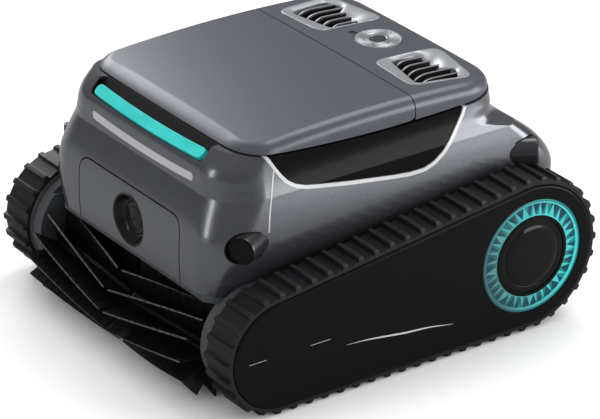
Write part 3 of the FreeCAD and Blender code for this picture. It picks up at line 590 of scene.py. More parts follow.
# ---- camera, light and floor -------------------------------------------------------------
AZIMUTH, ELEVATION, DISTANCE = math.radians(54.98), math.radians(25.8), 3.996
AIM = Vector((0.00164, 0.0146, 0.10877))    # metres, as everywhere in this section
LENS, SENSOR_WIDTH, SHIFT = 234.0, 36.0, (-0.0079, -0.0252)
SKY = ((0.0, 0.10), (0.50, 0.14), (0.60, 0.20), (0.85, 0.30), (1.0, 0.40))  # in reflections
FLOOR_HALF, FLOOR_Z = 9.0, -0.0002
PANELS = (                                  # name, place, point lit, size, watts, tint
    ("left_panel", (-2.3, 0.3, 1.5), (0, 0, 0.15), (1.3, 1.2), 30, (0.97, 0.98, 1)),
    ("rear_panel", (1.5, 1.7, 0.40), (0, 0.1, 0.15), (2.0, 1.2), 40, (1, 1, 1)),
    ("top_panel", (-0.3, 1.4, 2.6), (0, 0, 0.2), (1.8, 1.2), 26, (1, 1, 1)),
    ("front_panel", (-0.4, -3.0, 0.9), (0, 0, 0.1), (0.5, 1.4), 10, (0.94, 0.97, 1)))


def add_aimed(name, data, place_at, ahead):
    """Camera or lamp that looks along a direction."""
    made = bpy.data.objects.new(name, data)
    made.location = place_at
    made.rotation_mode = "QUATERNION"
    made.rotation_quaternion = ahead.to_track_quat("-Z", "Y")
    bpy.context.scene.collection.objects.link(made)
    return made


def show_by_ray(tree, seen, reflected, last):
    """Shows one shader directly and another in reflections."""
    ray, either = add_node(tree, "LightPath"), add_node(tree, "MixShader")
    wire(tree, (ray, "Is Glossy Ray", either, "Fac"), (seen, 0, either, 1),
         (reflected, 0, either, 2), (either, "Shader", last, "Surface"))


def add_camera():
    back = Vector((math.sin(AZIMUTH) * math.cos(ELEVATION),
                   -math.cos(AZIMUTH) * math.cos(ELEVATION), math.sin(ELEVATION)))
    data = bpy.data.cameras.new("camera")
    data.lens, data.sensor_width, data.clip_end = LENS, SENSOR_WIDTH, 50.0
    data.shift_x, data.shift_y = SHIFT
    bpy.context.scene.camera = add_aimed("camera", data, AIM + back * DISTANCE, -back)


def add_world():
    world = bpy.data.worlds.new("studio")
    bpy.context.scene.world = world
    world.use_nodes = True
    tree = world.node_tree
    tree.nodes.clear()
    out = add_node(tree, "OutputWorld")
    where, split = add_node(tree, "TexCoord"), add_node(tree, "SeparateXYZ")
    remap = add_node(tree, "MapRange", {"From Min": -1.0})
    ramp = add_node(tree, "ValToRGB")
    for k, (at, level) in enumerate(SKY):
        stops = ramp.color_ramp.elements
        stop = stops[k] if k < 2 else stops.new(at)
        stop.position = at
        stop.color = (level, level, level * 1.04, 1)
    seen = add_node(tree, "Background", {"Color": (0.93, 0.93, 0.935, 1)})
    lit = add_node(tree, "Background")
    wire(tree, (where, "Generated", split, "Vector"), (split, "Z", remap, "Value"),
         (remap, "Result", ramp, "Fac"), (ramp, "Color", lit, "Color"))
    show_by_ray(tree, seen, lit, out)


def add_panels():
    for name, location, target, size, power, tone in PANELS:
        lamp = bpy.data.lights.new(name, "AREA")
        lamp.shape = "RECTANGLE"
        lamp.size, lamp.size_y = size
        lamp.energy, lamp.color = power, tone
        add_aimed(name, lamp, location, Vector(target) - Vector(location))


def add_floor():
    floor = bpy.data.materials.new("floor")
    floor.use_nodes = True
    tree = floor.node_tree
    shader = tree.nodes["Principled BSDF"]
    shader.inputs["Roughness"].default_value = 0.9
    shader.inputs["Specular IOR Level"].default_value = 0.0
    noise = add_node(tree, "TexNoise", {"Scale": 40.0})
    tint = add_mix(tree, (0.93, 0.93, 0.93), (0.95, 0.95, 0.95))
    dim = add_node(tree, "BsdfDiffuse", {"Color": (0.34, 0.34, 0.35, 1)})
    wire(tree, (noise, "Fac", tint, "Factor"), (tint, "Result", shader, "Base Color"))
    show_by_ray(tree, shader, dim, tree.nodes["Material Output"])
    reach = FLOOR_HALF / MM
    square = lift(rectangle(-reach, reach, -reach, reach), "z", FLOOR_Z / MM)
    ground = mesh_object("floor", square, [(0, 1, 2, 3)])
    ground.data.materials.append(floor)


# ---- tracks ------------------------------------------------------------------------------
BELT_IN, BELT_OUT = 166.5, 207.5            # edges of the belt in x
COVER_X, LAMP_X, WELL_X = 209.8, 208.3, 204.8   # faces of the cover and the lamp, and its back
CHANNEL = (43.9, 61.5)                      # radii of the lamp's channel in the cover
LIP_R, GLASS_IN, GLASS_OUT, LAMP_R = 44.0, 45.0, 57.4, 61.4
GLASS_SECTORS = 34


def loop_at(distance, offset):
    """Points and outward normals of the belt line, moved out by the offset, and its length."""
    gap = REAR[1:] - FRONT[1:]
    length = np.linalg.norm(gap)
    slope = math.atan2(gap[1], gap[0])
    lean = math.acos(-(REAR_OUT - FRONT_OUT) / length)
    top, bottom = slope + lean, slope - lean
    run = math.sqrt(length**2 - (REAR_OUT - FRONT_OUT)**2)
    rear_arc, front_arc = REAR_OUT * (top - bottom), FRONT_OUT * (2 * math.pi - top + bottom)
    total = 2 * run + rear_arc + front_arc
    s = np.mod(np.asarray(distance, float), total)
    marks = np.cumsum([run, rear_arc, run])
    stage = [s < mark for mark in marks]
    angle = np.select(stage, [top, top - (s - marks[0]) / REAR_OUT, bottom],
                      bottom - (s - marks[2]) / FRONT_OUT)
    part = np.select(stage, [s / run, 1.0, 1 - (s - marks[1]) / run], 0.0)
    n = np.column_stack([np.cos(angle), np.sin(angle)])
    centre = FRONT[1:] + np.outer(part, gap)
    radius = FRONT_OUT + part * (REAR_OUT - FRONT_OUT)
    return centre + n * (radius + offset)[:, None], n, total


def track_belt():
    """Toothed belt: narrow bars with rounded crests and a slightly ramped web between them."""
    pitch = loop_at([0.0], 0.0)[2] / CLEATS
    steps = ((-4.6, 0.75), (-3.5, 1.0), (-2.9, 3.9), (-2.2, CLEAT), (1.9, CLEAT), (2.7, 4.1),
             (3.5, 0.4), (4.3, 0.0), (8.0, 0.1), (11.5, 0.35))
    across = ((BELT_IN, 0.45), (167.5, 0.86), (169.3, 1.0), (181.0, 1.0), (193.0, 1.0),
              (204.7, 1.0), (206.5, 0.86), (BELT_OUT, 0.45))
    inner = ((BELT_OUT, -3.2), (207.0, -3.6), (189.5, -3.6), (189.3, -6.6), (184.7, -6.6),
             (184.5, -3.6), (167.0, -3.6), (BELT_IN, -3.2))
    rings = []
    for k in range(CLEATS):
        for along, height in steps:
            point, normal, _ = loop_at([pitch * (k + 0.5) + along], 0.0)
            ring = [(x, *(point[0] + normal[0] * height * share)) for x, share in across]
            ring += [(x, *(point[0] + normal[0] * depth)) for x, depth in inner]
            rings.append(np.array(ring))
    return ring_mesh("belt", rings, closed=True)


def wheel_ring(profile, name, steps=96):
    """Turned form about the drive wheel's axis: profile of (radius, x)."""
    return lathe(name, [(r, x - REAR[0]) for r, x in profile], REAR, (1, 0, 0), steps)


def side_cover():
    edge = [(-4.0, 202.0), (-4.0, 206.6)]
    edge += [(-4.0 - 2.8 * (1 - math.cos(a)), 206.6 + 2.8 * math.sin(a))
             for a in np.radians((15, 30, 45, 60, 75, 90))]
    around = np.arange(220) * loop_at([0.0], 0.0)[2] / 220
    cover = ring_mesh("cover", [lift(loop_at(around, offset)[0], "x", x) for offset, x in edge])
    inner, outer = CHANNEL
    channel = wheel_ring(((outer, 204.4), (outer, 208.9), (62.4, COVER_X), (43.1, COVER_X),
                          (inner, 209.0), (inner, 204.4)), "channel")
    recess = wheel_ring(((40.0, 207.0), (40.0, 209.0), (40.8, COVER_X)), "recess")
    return carve(cover, [channel, recess])


def cover_crease():
    """Long shallow ridge that tapers to nothing at both ends of the cover's lower face; its upper
    faces carry a painted highlight.
    """
    path = np.array(((-82, 54.0), (-60, 52.2), (-40, 49.4), (-22, 46.6), (-8, 44.6), (10, 43.6),
                     (30, 41.4), (52, 36.6)))
    foot, face, crest, half = 208.9, 209.4, 0.55, 2.3
    t = np.linspace(0, 1, 41)
    y, z = (np.interp(t, np.linspace(0, 1, len(path)), column) for column in path.T)
    z = np.convolve(np.pad(z, 4, mode="edge"), np.ones(9) / 9, mode="valid")
    rings = []
    for y_at, z_at, w in zip(y, z, np.maximum(half * np.sin(math.pi * t)**0.7, 0.02)):
        section = ((foot, -w), (face, -w), (face + crest * w / half, 0), (face, w * 0.7),
                   (foot, w * 0.7))
        rings.append(np.array([(x, y_at, z_at + up) for x, up in section]))
    ridge = ring_mesh("crease", rings)
    # upward outer faces get the paler paint, a painted highlight along the crease
    paint_faces(ridge, [int(f.normal.z > 0.05 and f.normal.x > 0.5) for f in ridge.data.polygons])
    return ridge


def cover_dashes():
    """Two plain pale dashes let into the cover's lower front."""
    return joined("dashes", [prism(rectangle(rear, front, 65.9, 66.5), "x", 209.3, 209.48)
                             for rear, front in ((-196, -176), (-124, -100))])


def light_ring():
    """Lamp ring: a cut-glass band of narrow wedges between a smooth lip and a bright rim; the
    wedges carry painted glints and painted shade.
    """
    glint, deep, soft, line = range(4)          # places in RING_LAMPS; glint marks painted highlights, deep marks painted shade
    step = 2 * math.pi / GLASS_SECTORS
    verts, faces, marks = [], [], []

    def spots(radius, x, shift, sway=0.0):
        start = len(verts)
        for k in range(GLASS_SECTORS):
            angle = (k + shift + sway * math.sin(5.3 * k)) * step
            verts.append((x, REAR[1] + radius * math.cos(angle),
                          REAR[2] + radius * math.sin(angle)))
        return range(start, start + GLASS_SECTORS)

    inner, inner_mid = spots(GLASS_IN, 207.9, 0.0), spots(GLASS_IN, 207.3, 0.5)
    outer, outer_mid = spots(GLASS_OUT, 205.8, 0.5, 0.16), spots(GLASS_OUT, 206.6, 0.0)
    foot, edge = spots(LIP_R, WELL_X, 0.0), spots(LIP_R, 208.2, 0.0)
    lip, lip_mid = spots(44.6, LAMP_X, 0.0), spots(44.6, LAMP_X, 0.5)
    rim_top, rim_mid = spots(57.9, LAMP_X, 0.0), spots(57.9, LAMP_X, 0.5, 0.16)
    for k in range(GLASS_SECTORS):
        j = (k + 1) % GLASS_SECTORS
        faces += [(inner[k], inner_mid[k], outer[k]), (inner_mid[k], inner[j], outer[k]),
                  (inner[j], outer_mid[j], outer[k]), (inner[k], outer[k], outer_mid[k]),
                  (foot[k], foot[j], edge[j], edge[k]), (edge[k], edge[j], lip[j], lip[k]),
                  (lip[k], lip_mid[k], lip[j]), (lip[k], lip_mid[k], inner_mid[k], inner[k]),
                  (lip_mid[k], lip[j], inner[j], inner_mid[k]),
                  (outer_mid[k], outer[k], rim_mid[k], rim_top[k]),
                  (outer[k], outer_mid[j], rim_top[j], rim_mid[k])]
        # wedges alternate painted glints and painted shade
        marks += [glint, glint if k % 4 == 1 else soft, deep, deep if k % 3 else soft]
        marks += [line] * 7
    facets = mesh_object("facets", verts, faces, marks)
    rim_band = wheel_ring(((57.5, WELL_X), (57.5, LAMP_X), (58.9, 208.35), (60.3, 208.6),
                           (61.0, 208.4), (LAMP_R, 207.8), (LAMP_R, WELL_X)), "band")
    back = wheel_ring(((LIP_R, WELL_X), (LIP_R, 205.2), (LAMP_R, 205.2), (LAMP_R, WELL_X)), "back")
    ring = joined("ring", [facets, rim_band, back])
    centre = read(ring.data.polygons, "center", 3) / MM
    index = read(ring.data.polygons, "material_index", 1, int)
    reach = np.hypot(*(centre - REAR)[:, 1:].T)
    paint_faces(ring, np.where(reach > 59.2, soft, np.where(reach > 57.95, line, index)))
    return ring


def hub_cap():
    return wheel_ring(((0, 209.9), (10, 209.88), (20, 209.8), (26, 209.65), (28, 209.5),
                       (30, 209.1), (31.6, 208.6), (33.0, 208.2), (33.1, 207.9), (33.7, 207.8),
                       (34.1, 208.1), (39.2, 208.3), (39.8, 208.0), (39.9, 207.0)), "hub")


def tracks():
    belt = track_belt()
    cover = joined("cover_all", [side_cover(), cover_crease()])
    for name, left, angle, slot, paints, node in (
            ("belt", belt, 40, "track_rubber", None, "track_belt"),
            ("outer_cover", cover, 25, "cover_gloss", ("cover_gloss", "ridge_painted_highlight"),
             "side_cover"),
            ("cover_marks", cover_dashes(), 30, "cover_gloss", ("pale_mark",), None),
            ("lamp_ring", light_ring(), 12, "light_lens", [lamp[0] for lamp in RING_LAMPS],
             "light_ring"),
            ("hub", hub_cap(), 40, "cover_gloss", ("hub_gloss",), "hub_cap")):
        soft_edges(left, angle)
        for target, side in ((left, "left"), (flipped(left, f"{name}_right"), "right")):
            nodes = [f"{node}_{side}"] if node else []
            place(target, f"{name}_{side}", "hull", slot, *nodes, paints=paints)


# ---- brush -------------------------------------------------------------------------------
def brush_half():
    """Rubber roller half: twisted blades whose tips are slit into short fingers."""
    _, axis_y, axis_z = middle("brush_shaft_left")
    bore, sleeve, chamfer, slit = 4.1, 13.0, 0.6, 0.45
    low, high = BRUSH_IN, BRUSH_OUT
    profile = ((bore, low), (sleeve - chamfer, low), (sleeve, low + chamfer),
               (sleeve, high - chamfer), (sleeve - chamfer, high), (bore, high))
    parts = [lathe("sleeve", profile, (0, axis_y, axis_z), (1, 0, 0), 32)]
    length = (high - low) / BRUSH_FINGERS

    def section(x, angle, root, tip, half_root, half_tip):
        turn = angle - BRUSH_TWIST * (x - low) / (high - low)
        out = np.array((-math.cos(turn), -math.sin(turn)))
        side = np.array((-out[1], out[0]))
        corners = (out * root - side * half_root, out * tip - side * half_tip,
                   out * tip + side * half_tip, out * root + side * half_root)
        return np.array([(x, axis_y + c[0], axis_z + c[1]) for c in corners])

    for angle in 2 * math.pi * np.arange(BRUSH_BLADES) / BRUSH_BLADES:
        xs = np.linspace(low + 0.1, high - 0.1, 13)
        parts.append(ring_mesh("web", [section(x, angle, 12.2, 33.0, 1.5, 1.15) for x in xs]))
        for finger in range(BRUSH_FINGERS):
            start = low + finger * length + slit
            ends = np.linspace(start, start + length - 2 * slit, 3)
            tip = ring_mesh("tip", [section(x, angle, 32.5, BRUSH_R, 1.16, 0.95) for x in ends])
            reach = read(tip.data.polygons, "center", 3)[:, 1:] / MM - (axis_y, axis_z)
            # the outer 1.5 mm of each finger is painted paler, a painted highlight along the tips
            paint_faces(tip, (np.hypot(*reach.T) > BRUSH_R - 1.5).astype(int))
            parts.append(tip)
    return joined("brush", parts)


def brushes():
    left = brush_half()
    soft_edges(left, 30)
    for target, side in ((left, "left"), (flipped(left, "brush_roller_right"), "right")):
        place(target, f"brush_roller_{side}", f"brush_{side}", "brush_rubber", f"brush_{side}",
              paints=("brush_rubber", "tip_painted_highlight"))


# ---- body --------------------------------------------------------------------------------
CORE_GAP = 3.3                              # clearance over a solid that hollows a skin
DIAL_HOLE, PORT_R = 28.5, 12.2              # openings for the control and the charging port
AT_REAR = np.repeat((False, True, True, False), ARC + RUN)     # ring points of the rear corners


def body_ring(z, inset=0.0):
    half, front, rear, corner, rear_corner = body_plan(z)
    corner = np.where(AT_REAR, rear_corner, corner)
    return plan_ring(half - inset, front + inset, rear - inset, corner - inset)


def body_rows(inset, drop):
    """Rings up the body's side, from its lower edge to the deck's edge."""
    low, crease, brow = LEVELS[[0, CREASE_ROW, BROW_ROW], 0]
    heights = [*np.linspace(low, crease, 19), *np.linspace(crease, brow, 7)[1:]]
    rows = [at_height(body_ring(z, inset), z) for z in heights]
    top = np.full(len(rows[0]), 242.0)
    for _ in range(8):
        top = rim(body_ring(top, inset)[:, 1], drop)
    for part in np.linspace(0, 1, 8)[1:]:
        z = brow + (top - brow) * part
        rows.append(at_height(body_ring(z, inset), z))
    return rows


def bumper_axis(spot):
    x, y, _ = spot
    return np.array((math.copysign(math.sin(BUMPER_SPLAY), x),
                     math.copysign(math.cos(BUMPER_SPLAY), y), 0.0))


def pod(name, spot, radius, behind, ahead):
    """Cylinder along a corner roller's axis."""
    return lathe(name, ((radius, -behind), (radius, ahead)), spot, bumper_axis(spot), TURNED)


def bar_plate(spare, foot, top, name="hole", bevel=0.0):
    """Round-ended plate of the light bar's outline, widened by a gap."""
    half, height = BAR[0] + spare, BAR[1] + spare
    return brow_plate(half, -height / 2, height / 2, foot, top, name, bevel, height / 2 - 0.05,
                      (BOW, BOW))


def brow_plate(half, lower, upper, foot, top, name="recess", bevel=0.0, corner=6.0,
               bow=(BOW, 0.0)):
    """Plate on the sloping brow with rounded corners, between two depths along its normal."""
    outline = bowed(soften(rectangle(-half, half, lower, upper), corner, 8), *bow)
    turn = np.array(((1, 0, 0), (0, math.cos(BROW_TILT), -math.sin(BROW_TILT)),
                     (0, math.sin(BROW_TILT), math.cos(BROW_TILT))))
    levels = [(0, foot), (0, top)]
    if bevel:
        levels = [(0, foot), (0, top - bevel * 0.55), (bevel * 0.35, top - bevel * 0.15),
                  (bevel, top)]
    return ring_mesh(name, [lift(grown(outline, -inset) if inset else outline, "z", level)
                            @ turn.T + BROW for inset, level in levels])


def nose_outline():
    half, low, high, corner = NOSE
    return soften(rectangle(-half, half, low, high), corner)


def strip_outline(spare=0.0):
    left, right, low, high = STRIP
    wide = rectangle(left - spare, right + spare, low - spare, high + spare)
    return bowed(soften(wide, 4.1 + spare), *STRIP_BOW)


def side_limits(sign):
    return sorted((SIDE[0] * sign, SIDE[1] * sign))


def window_outline(by=0.0):
    return grown(soften(WINDOW, 14.0), by)


def body_shell():
    outer = body_rows(0.0, GAP)
    inner = body_rows(WALL, GAP + WALL)
    bay = plan_ring(*BAY)

    def deck(edge, drop, parts):
        """Rings between the body's upper edge and the opening under the lid."""
        plans = [edge[:, :2] * (1 - part) + bay * part for part in parts]
        return [at_height(plan, rim(plan[:, 1], drop)) for plan in plans]

    upper = deck(outer[-1], GAP, np.linspace(0, 1, 7)[1:])
    under = deck(inner[-1], GAP + WALL, np.linspace(1, 0, 7)[:-1])
    shell = ring_mesh("shell", outer + upper + under + inner[::-1], closed=True)
    cutters = [prism(grown(nose_outline(), 1.5), "y", *NOSE_Y)]
    for sign in (1, -1):
        cutters.append(prism(window_outline(TRIM), "x", SIDE[0] * sign, SIDE[1] * sign))
        cutters.append(prism(grown(soften(VENT, 13) * (sign, 1), 0.5), "z", 200, 300))
        for spot in BUMPERS:
            ahead = 60 if spot[1] < 0 else 3.0
            cutters.append(pod("pod", np.array(spot) * (sign, 1, 1), POD_R, 24, ahead))
    cutters.append(lathe("dial", ((DIAL_HOLE, -40), (DIAL_HOLE, 10)), DIAL, (0, 0, 1), TURNED))
    cutters.append(lathe("port", ((PORT_R, 0), (PORT_R, 60)), (0, 200, 135), (0, 1, 0), TURNED))
    half, lower, upper_edge = TRAY
    cutters.append(brow_plate(half + 0.1, lower - 0.1, upper_edge + 0.1, -7.2, 30))
    cutters.append(prism(strip_outline(0.2), "y", *BROW_Y))
    carve(shell, cutters)
    exact_normals(shell, body_field, deck_field)
    return shell


def body_slab(outline, axis, low, high, out, inside):
    """Part of the body's skin between two offsets, cut to an outline."""
    skin = ring_mesh("skin", body_rows(-out, GAP), poles=True)
    core = ring_mesh("core", body_rows(inside, CORE_GAP), poles=True)
    carve(skin, [prism(outline, axis, low, high)], "INTERSECT")
    carve(skin, [core])
    exact_normals(skin, body_field)
    return skin


def bodywork():
    place(body_shell(), "body_shell", "hull", "body_metallic", "upper_shell")

    for sign, side in ((1, "left"), (-1, "right")):
        pane = body_slab(window_outline(0.05), "x", *side_limits(sign), -0.9, 3.0)
        place(pane, f"window_{side}", "hull", "smoked_glass", f"side_window_{side}")

    trims = []
    for sign in (1, -1):
        strip = body_slab(window_outline(TRIM), "x", *side_limits(sign), 0.5, 3.0)
        carve(strip, [prism(window_outline(0.0), "x", 110 * sign, 180 * sign)])
        stripe = body_slab(np.array(STRIPE, float), "x", *side_limits(sign), 0.35, 1.5)
        trims += [strip, stripe]
    trim = joined("trim", trims)
    exact_normals(trim, body_field)
    place(trim, "window_trim", "hull", "silver_trim", "window_trims")

    along = (0, 1, 0)
    nose = body_slab(nose_outline(), "y", *NOSE_Y, 0.0, 4.0)
    carve(nose, [lathe("hole", ((SENSOR_R, 0), (SENSOR_R, 60)), (0, NOSE_Y[0], SENSOR_Z), along,
                       72)])
    exact_normals(nose, body_field)
    place(nose, "nose_panel", "hull", "body_metallic", "front_panel")

    cone = ((SENSOR_R, -184), (SENSOR_R, -197.4), (27.6, -197.9), (26.4, -198.0), (25.2, -197.2),
            (24.4, -194.6), (20.4, -190.6), (17.6, -190.0), (17.2, -188.5), (17.2, -184))
    eye = ((17.0, -184), (17.0, -189.6), (16.4, -190.2), (12.8, -190.4), (12.5, -189.9),
           (12.0, -189.9), (11.6, -190.5), (7.0, -191.2), (2.2, -191.6), (2.0, -191.2),
           (1.2, -191.2), (0.9, -191.5), (0, -191.6))
    for name, profile, slot, node in (("sensor_cone", cone, "dark_gloss", "sensor_bezel"),
                                      ("sensor_eye", eye, "smoked_glass", "sensor_lens")):
        made = lathe(name, profile, (0, 0, SENSOR_Z), along, 72, closed=profile is cone)
        soft_edges(made, 40)
        place(made, name, "hull", slot, node, paints=("dark_gloss",))

    # pale silver strip under the light bar stands for the brow's reflection: a painted reflection
    strip = body_slab(strip_outline(), "y", *BROW_Y, 0.3, 1.5)
    place(strip, "brow_painted_reflection", "hull", "silver_trim", "led_trim")

    # the recess round the light bar is dull near-black: dark plastic with painted shade
    tray = brow_plate(*TRAY, -7, -1.6, "light_tray", 0.8)
    carve(tray, [bar_plate(0.3, BAR_FOOT, 6)])
    soft_edges(tray, 30)
    place(tray, "light_tray", "hull", "dark_gloss", "led_housing", paints=("recess_painted_shade",))
    bar = bar_plate(0.0, BAR_FOOT, 2.4, "light_bar", 1.4)
    soft_edges(bar, 30)
    outward = Vector((0, -math.sin(BROW_TILT), math.cos(BROW_TILT)))
    # faces that don't face straight out get the darker glow, a painted shade on the bevel and ends
    paint_faces(bar, [int(face.normal.dot(outward) <= 0.95) for face in bar.data.polygons])
    place(bar, "light_bar", "hull", "light_lens", "led_diffuser",
          paints=[lamp[0] for lamp in BAR_LAMPS])


def bumpers():
    """Rubber corner rollers, the front ones each in a dark pocket of the body."""
    knobs, pockets = [], []
    profile = [(9.0, -34), (KNOB_R - 0.7, -34), (KNOB_R, -32), (KNOB_R, -2.0)]
    profile += [(KNOB_R - inward, ahead) for inward, ahead in (
        (0.5, -0.8), (1.6, -0.2), (2.2, -0.6), (3.0, -0.6), (3.6, 0))] + [(0, 0.35)]
    for sign in (1, -1):
        for spot in BUMPERS:
            spot = np.array(spot) * (sign, 1, 1)
            axis = bumper_axis(spot)
            knob = lathe("knob", profile, spot, axis, TURNED)
            # end faces keep the dark gloss; the round sides get the grey metallic paint, a painted
            # highlight
            paint_faces(knob, [int(f.normal.dot(Vector(axis)) > 0.6) for f in knob.data.polygons])
            knobs.append(knob)
            if spot[1] < 0:
                shell = pod("pocket", spot, POD_R - 0.1, 23.8, 58)
                carve(shell, [pod("hollow", spot, POD_R - 1.0, 22.0, 62)])
                body = ring_mesh("core", body_rows(0.15, CORE_GAP), poles=True)
                pockets.append(carve(shell, [body], "INTERSECT"))
    for name, parts, slot, paints, nodes in (
            ("corner_rollers", knobs, "black_rubber", ("knob_painted_sheen", "cover_gloss"),
             ("corner_bumpers",)),
            ("corner_pockets", pockets, "dark_gloss", None, ())):
        made = joined(name, parts)
        soft_edges(made, 35)
        place(made, name, "hull", slot, *nodes, paints=paints)


# ---- top cap -----------------------------------------------------------------------------
BEZEL_FOOT, KNURL = 240.0, 0.35


def cap_rings(inset):
    """Rings over the cap's outer form, from the lower edge to the middle."""
    half, front, rear, corner = CAP
    roll = cap_roll(plan_ring(*CAP)) - inset

    def at_turn(turn):
        depth = inset + roll * (1 - np.cos(np.maximum(turn, 0)))
        plan = plan_ring(half - depth, front + depth, rear - depth, corner - depth)
        wall = np.minimum(turn, 0) * roll
        rise = roll * (np.sin(np.maximum(turn, 0)) - 1) + wall
        return np.column_stack([plan, crown_height(*plan.T, rise - inset)])

    low, high = np.full(len(roll), -1.2), np.full(len(roll), math.pi / 2)
    for _ in range(24):                         # finds the turn at which the roll meets the rim
        mid = (low + high) / 2
        ring = at_turn(mid)
        above = ring[:, 2] > rim(ring[:, 1])
        high, low = np.where(above, mid, high), np.where(above, low, mid)
    rings = [at_turn(high + (math.pi / 2 - high) * part) for part in np.linspace(0, 1, 15)]
    centre = np.array((0.0, (front + rear) / 2))
    edge = rings[-1][:, :2]
    for part in (0.94, 0.86, 0.76, 0.64, 0.5, 0.35, 0.2, 0.08):
        plan = centre + (edge - centre) * part
        rings.append(np.column_stack([plan, crown_height(*plan.T, -inset)]))
    return rings


def cap_shell():
    """The top cap as a thick closed skin."""
    outer, inner = cap_rings(0.0), cap_rings(WALL)
    return ring_mesh("cap", outer[::-1] + inner, poles=True)


def lid():
    low, high, far = 237.6, 320, -220
    side = [(LID_EDGE - 30, 200), (LID_EDGE - 30, low), (LID_EDGE, low), (LID_EDGE, high),
            (far, high), (far, 200)]
    return carve(cap_shell(), [prism(soften(side, 7.0, 5), "x", -200, 200)], "INTERSECT")


def vent_outline(sign, by=0.0):
    return grown(soften(VENT, 13, 8), by) * (sign, 1)


def rear_cover():
    cutters = [prism(rectangle(-250, COVER_EDGE, 190, 320), "x", -200, 200)]
    cutters += [prism(vent_outline(sign), "z", 200, 300) for sign in (1, -1)]
    cutters.append(lathe("dial", ((DIAL_R, -30), (DIAL_R, 10)), DIAL, (0, 0, 1), 72))
    cutters.append(prism(soften(rectangle(-31.5, -20.0, 90.5, 98.0), 2.0), "z", 257.8, 270))
    return carve(cap_shell(), cutters)


def outlet_bezel():
    """Frame of an outlet: wide at the front and outer side, with a scoop at the inner rear."""
    middle_at = np.array((84.0, 103.0))
    opening = soften(((51, 85), (110, 74), (117, 122), (97, 133), (86, 120), (50, 121)), 7.0, 8)
    angles = np.linspace(-math.pi, math.pi, 96, endpoint=False)

    def resample(points):
        """The outline's points at evenly spaced angles round its middle."""
        ahead = np.roll(points, -1, axis=0) - points
        dense = np.concatenate([points + ahead * t for t in np.linspace(0, 1, 9)[:-1]])
        x, y = (dense - middle_at).T
        turn = np.arctan2(y, x)
        order = np.argsort(turn)
        return np.column_stack([np.interp(angles, turn[order], dense[order][:, c],
                                          period=2 * math.pi) for c in (0, 1)])

    rim_line, mouth = resample(vent_outline(1, -0.15)), resample(opening)
    away = np.mod(angles - math.radians(125) + math.pi, 2 * math.pi) - math.pi
    drop = 1.6 + 7.0 * np.exp(-(away / math.radians(42))**2)
    rings = []
    for part, fall, above in ((0.0, 0.0, -6.0), (0.0, 0.0, 0.1), (0.05, 0.0, 0.55),
                              (0.35, 0.10, 0.45), (0.7, 0.45, 0.0), (0.92, 0.85, 0.0),
                              (1.0, 1.0, -0.3)):
        plan = rim_line * (1 - part) + mouth * part
        rings.append(at_height(plan, crown_height(*plan.T, above) - drop * fall))
    rings.append(at_height(mouth, BEZEL_FOOT))
    rings.append(at_height(rim_line * 0.25 + mouth * 0.75, BEZEL_FOOT))
    return ring_mesh("bezel", rings, closed=True)


def outlet_fins():
    """Curved dark blades that run front to rear, with thin pale upper edges as a painted highlight.
    """
    parts, marks = [], []
    t = np.linspace(0, 1, 15)
    curl = 1 - np.sqrt(np.clip(1 - (1 - np.clip(t / 0.42, 0, 1))**2, 0, 1))
    for x, front, rear in ((57, 84, 121), (69.5, 82, 122), (82, 80, 124), (94.5, 78, 131),
                           (107, 76, 128)):
        y = front + (rear - front) * t
        top = crown_height(x, y) - 2.2 - 15.0 * curl
        # mark 1 is the pale strip along each blade's top, a painted highlight
        for mark, rise, half in ((0, 0.0, 0.8), (1, 0.7, 0.65)):
            rings = []
            for yy, zz in zip(y, top):
                base = zz if mark else FIN_FOOT
                lean = 0.10 * (zz - base)
                rings.append(np.array((
                    (x - half, yy, base), (x + half, yy, base),
                    (x + half - lean, yy, zz + rise), (x - half - lean, yy, zz + rise))))
            parts.append(ring_mesh("fin", rings))
            marks.append(mark)
    for y in (94, 112):
        parts.append(prism(rectangle(50, 116, y, y + 2.5), "z", FIN_FOOT, 244))
        marks.append(0)
    fins = joined("fins", parts, marks)
    fins = joined("outlet_fins", [fins, flipped(fins, "fins_right")])
    soft_edges(fins, 40)
    return fins


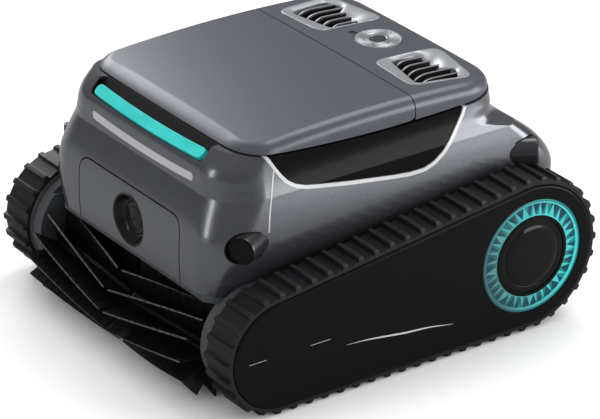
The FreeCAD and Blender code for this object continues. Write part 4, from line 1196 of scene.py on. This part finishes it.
def dial():
    """Knurled ring round the power button."""
    profile = ((8.6, 255.0, 0), (24.9, 255.0, 0), (24.9, 258.9, 0), (24.3, 259.45, 0),
               (23.2, 259.5, 0), (22.6, 259.1, 1), (16.0, 259.0, 1), (12.6, 259.25, 1),
               (11.6, 259.5, 0), (9.4, 259.5, 0), (8.6, 259.0, 0))
    steps = np.arange(144)
    angles = steps * 2 * math.pi / len(steps)
    rings = [np.column_stack([radius * np.cos(angles), DIAL[1] + radius * np.sin(angles),
                              z + KNURL * knurled * (steps % 2)])
             for radius, z, knurled in profile]
    ring = ring_mesh("dial_ring", rings, closed=True)
    soft_edges(ring, 8)
    return ring


def dial_part(name, profile, angle):
    """Turned form on the control's axis."""
    made = lathe(name, profile, (0, DIAL[1], 0), (0, 0, 1), TURNED)
    soft_edges(made, angle)
    return made


def topside():
    for shell, name, body, node in ((lid(), "lid_shell", "lid", "lid"),
                                    (rear_cover(), "rear_shell", "hull", "rear_cover")):
        exact_normals(shell, cap_field)
        place(shell, name, body, "lid_satin", node)
    bezel = outlet_bezel()
    mirrored = flipped(bezel, "outlet_frame_right")
    for target, side, angle in ((bezel, "left", 50), (mirrored, "right", 32)):
        soft_edges(target, angle)
        place(target, f"outlet_frame_{side}", "hull", "silver_trim", f"outlet_bezel_{side}",
              paints=("silver_satin",))
    place(outlet_fins(), "outlet_fins", "hull", "louvre_plastic", "outlet_louvres",
          paints=("louvre_plastic", "silver_satin"))
    place(dial(), "dial_ring", "hull", "silver_trim", "control_ring", paints=("dial_metal",))
    button = ((0, 259.75), (5.0, 259.8), (7.2, 259.85), (7.9, 259.5), (8.1, 258.9), (8.1, 253.2),
              (7.8, 253.0), (0, 253.0))
    well = ((0, 254.9), (25.2, 254.9), (25.2, 254.2), (0, 254.2))
    place(dial_part("button_cap", button, 40), "button_cap", "button", "chassis_plastic",
          "power_button", paints=("inner_plastic",))
    place(dial_part("dial_well", well, 32), "dial_well", "hull", "chassis_plastic",
          paints=("inner_plastic",))


scene = bpy.context.scene
scene.view_settings.view_transform = "Standard"
for make in (add_camera, add_world, add_panels, add_floor, tracks, brushes, bodywork, bumpers,
             topside):
    make()
for piece in frame["nodes"].values():
    if not piece.hide_render:
        soft_edges(piece, 38, 0.35)
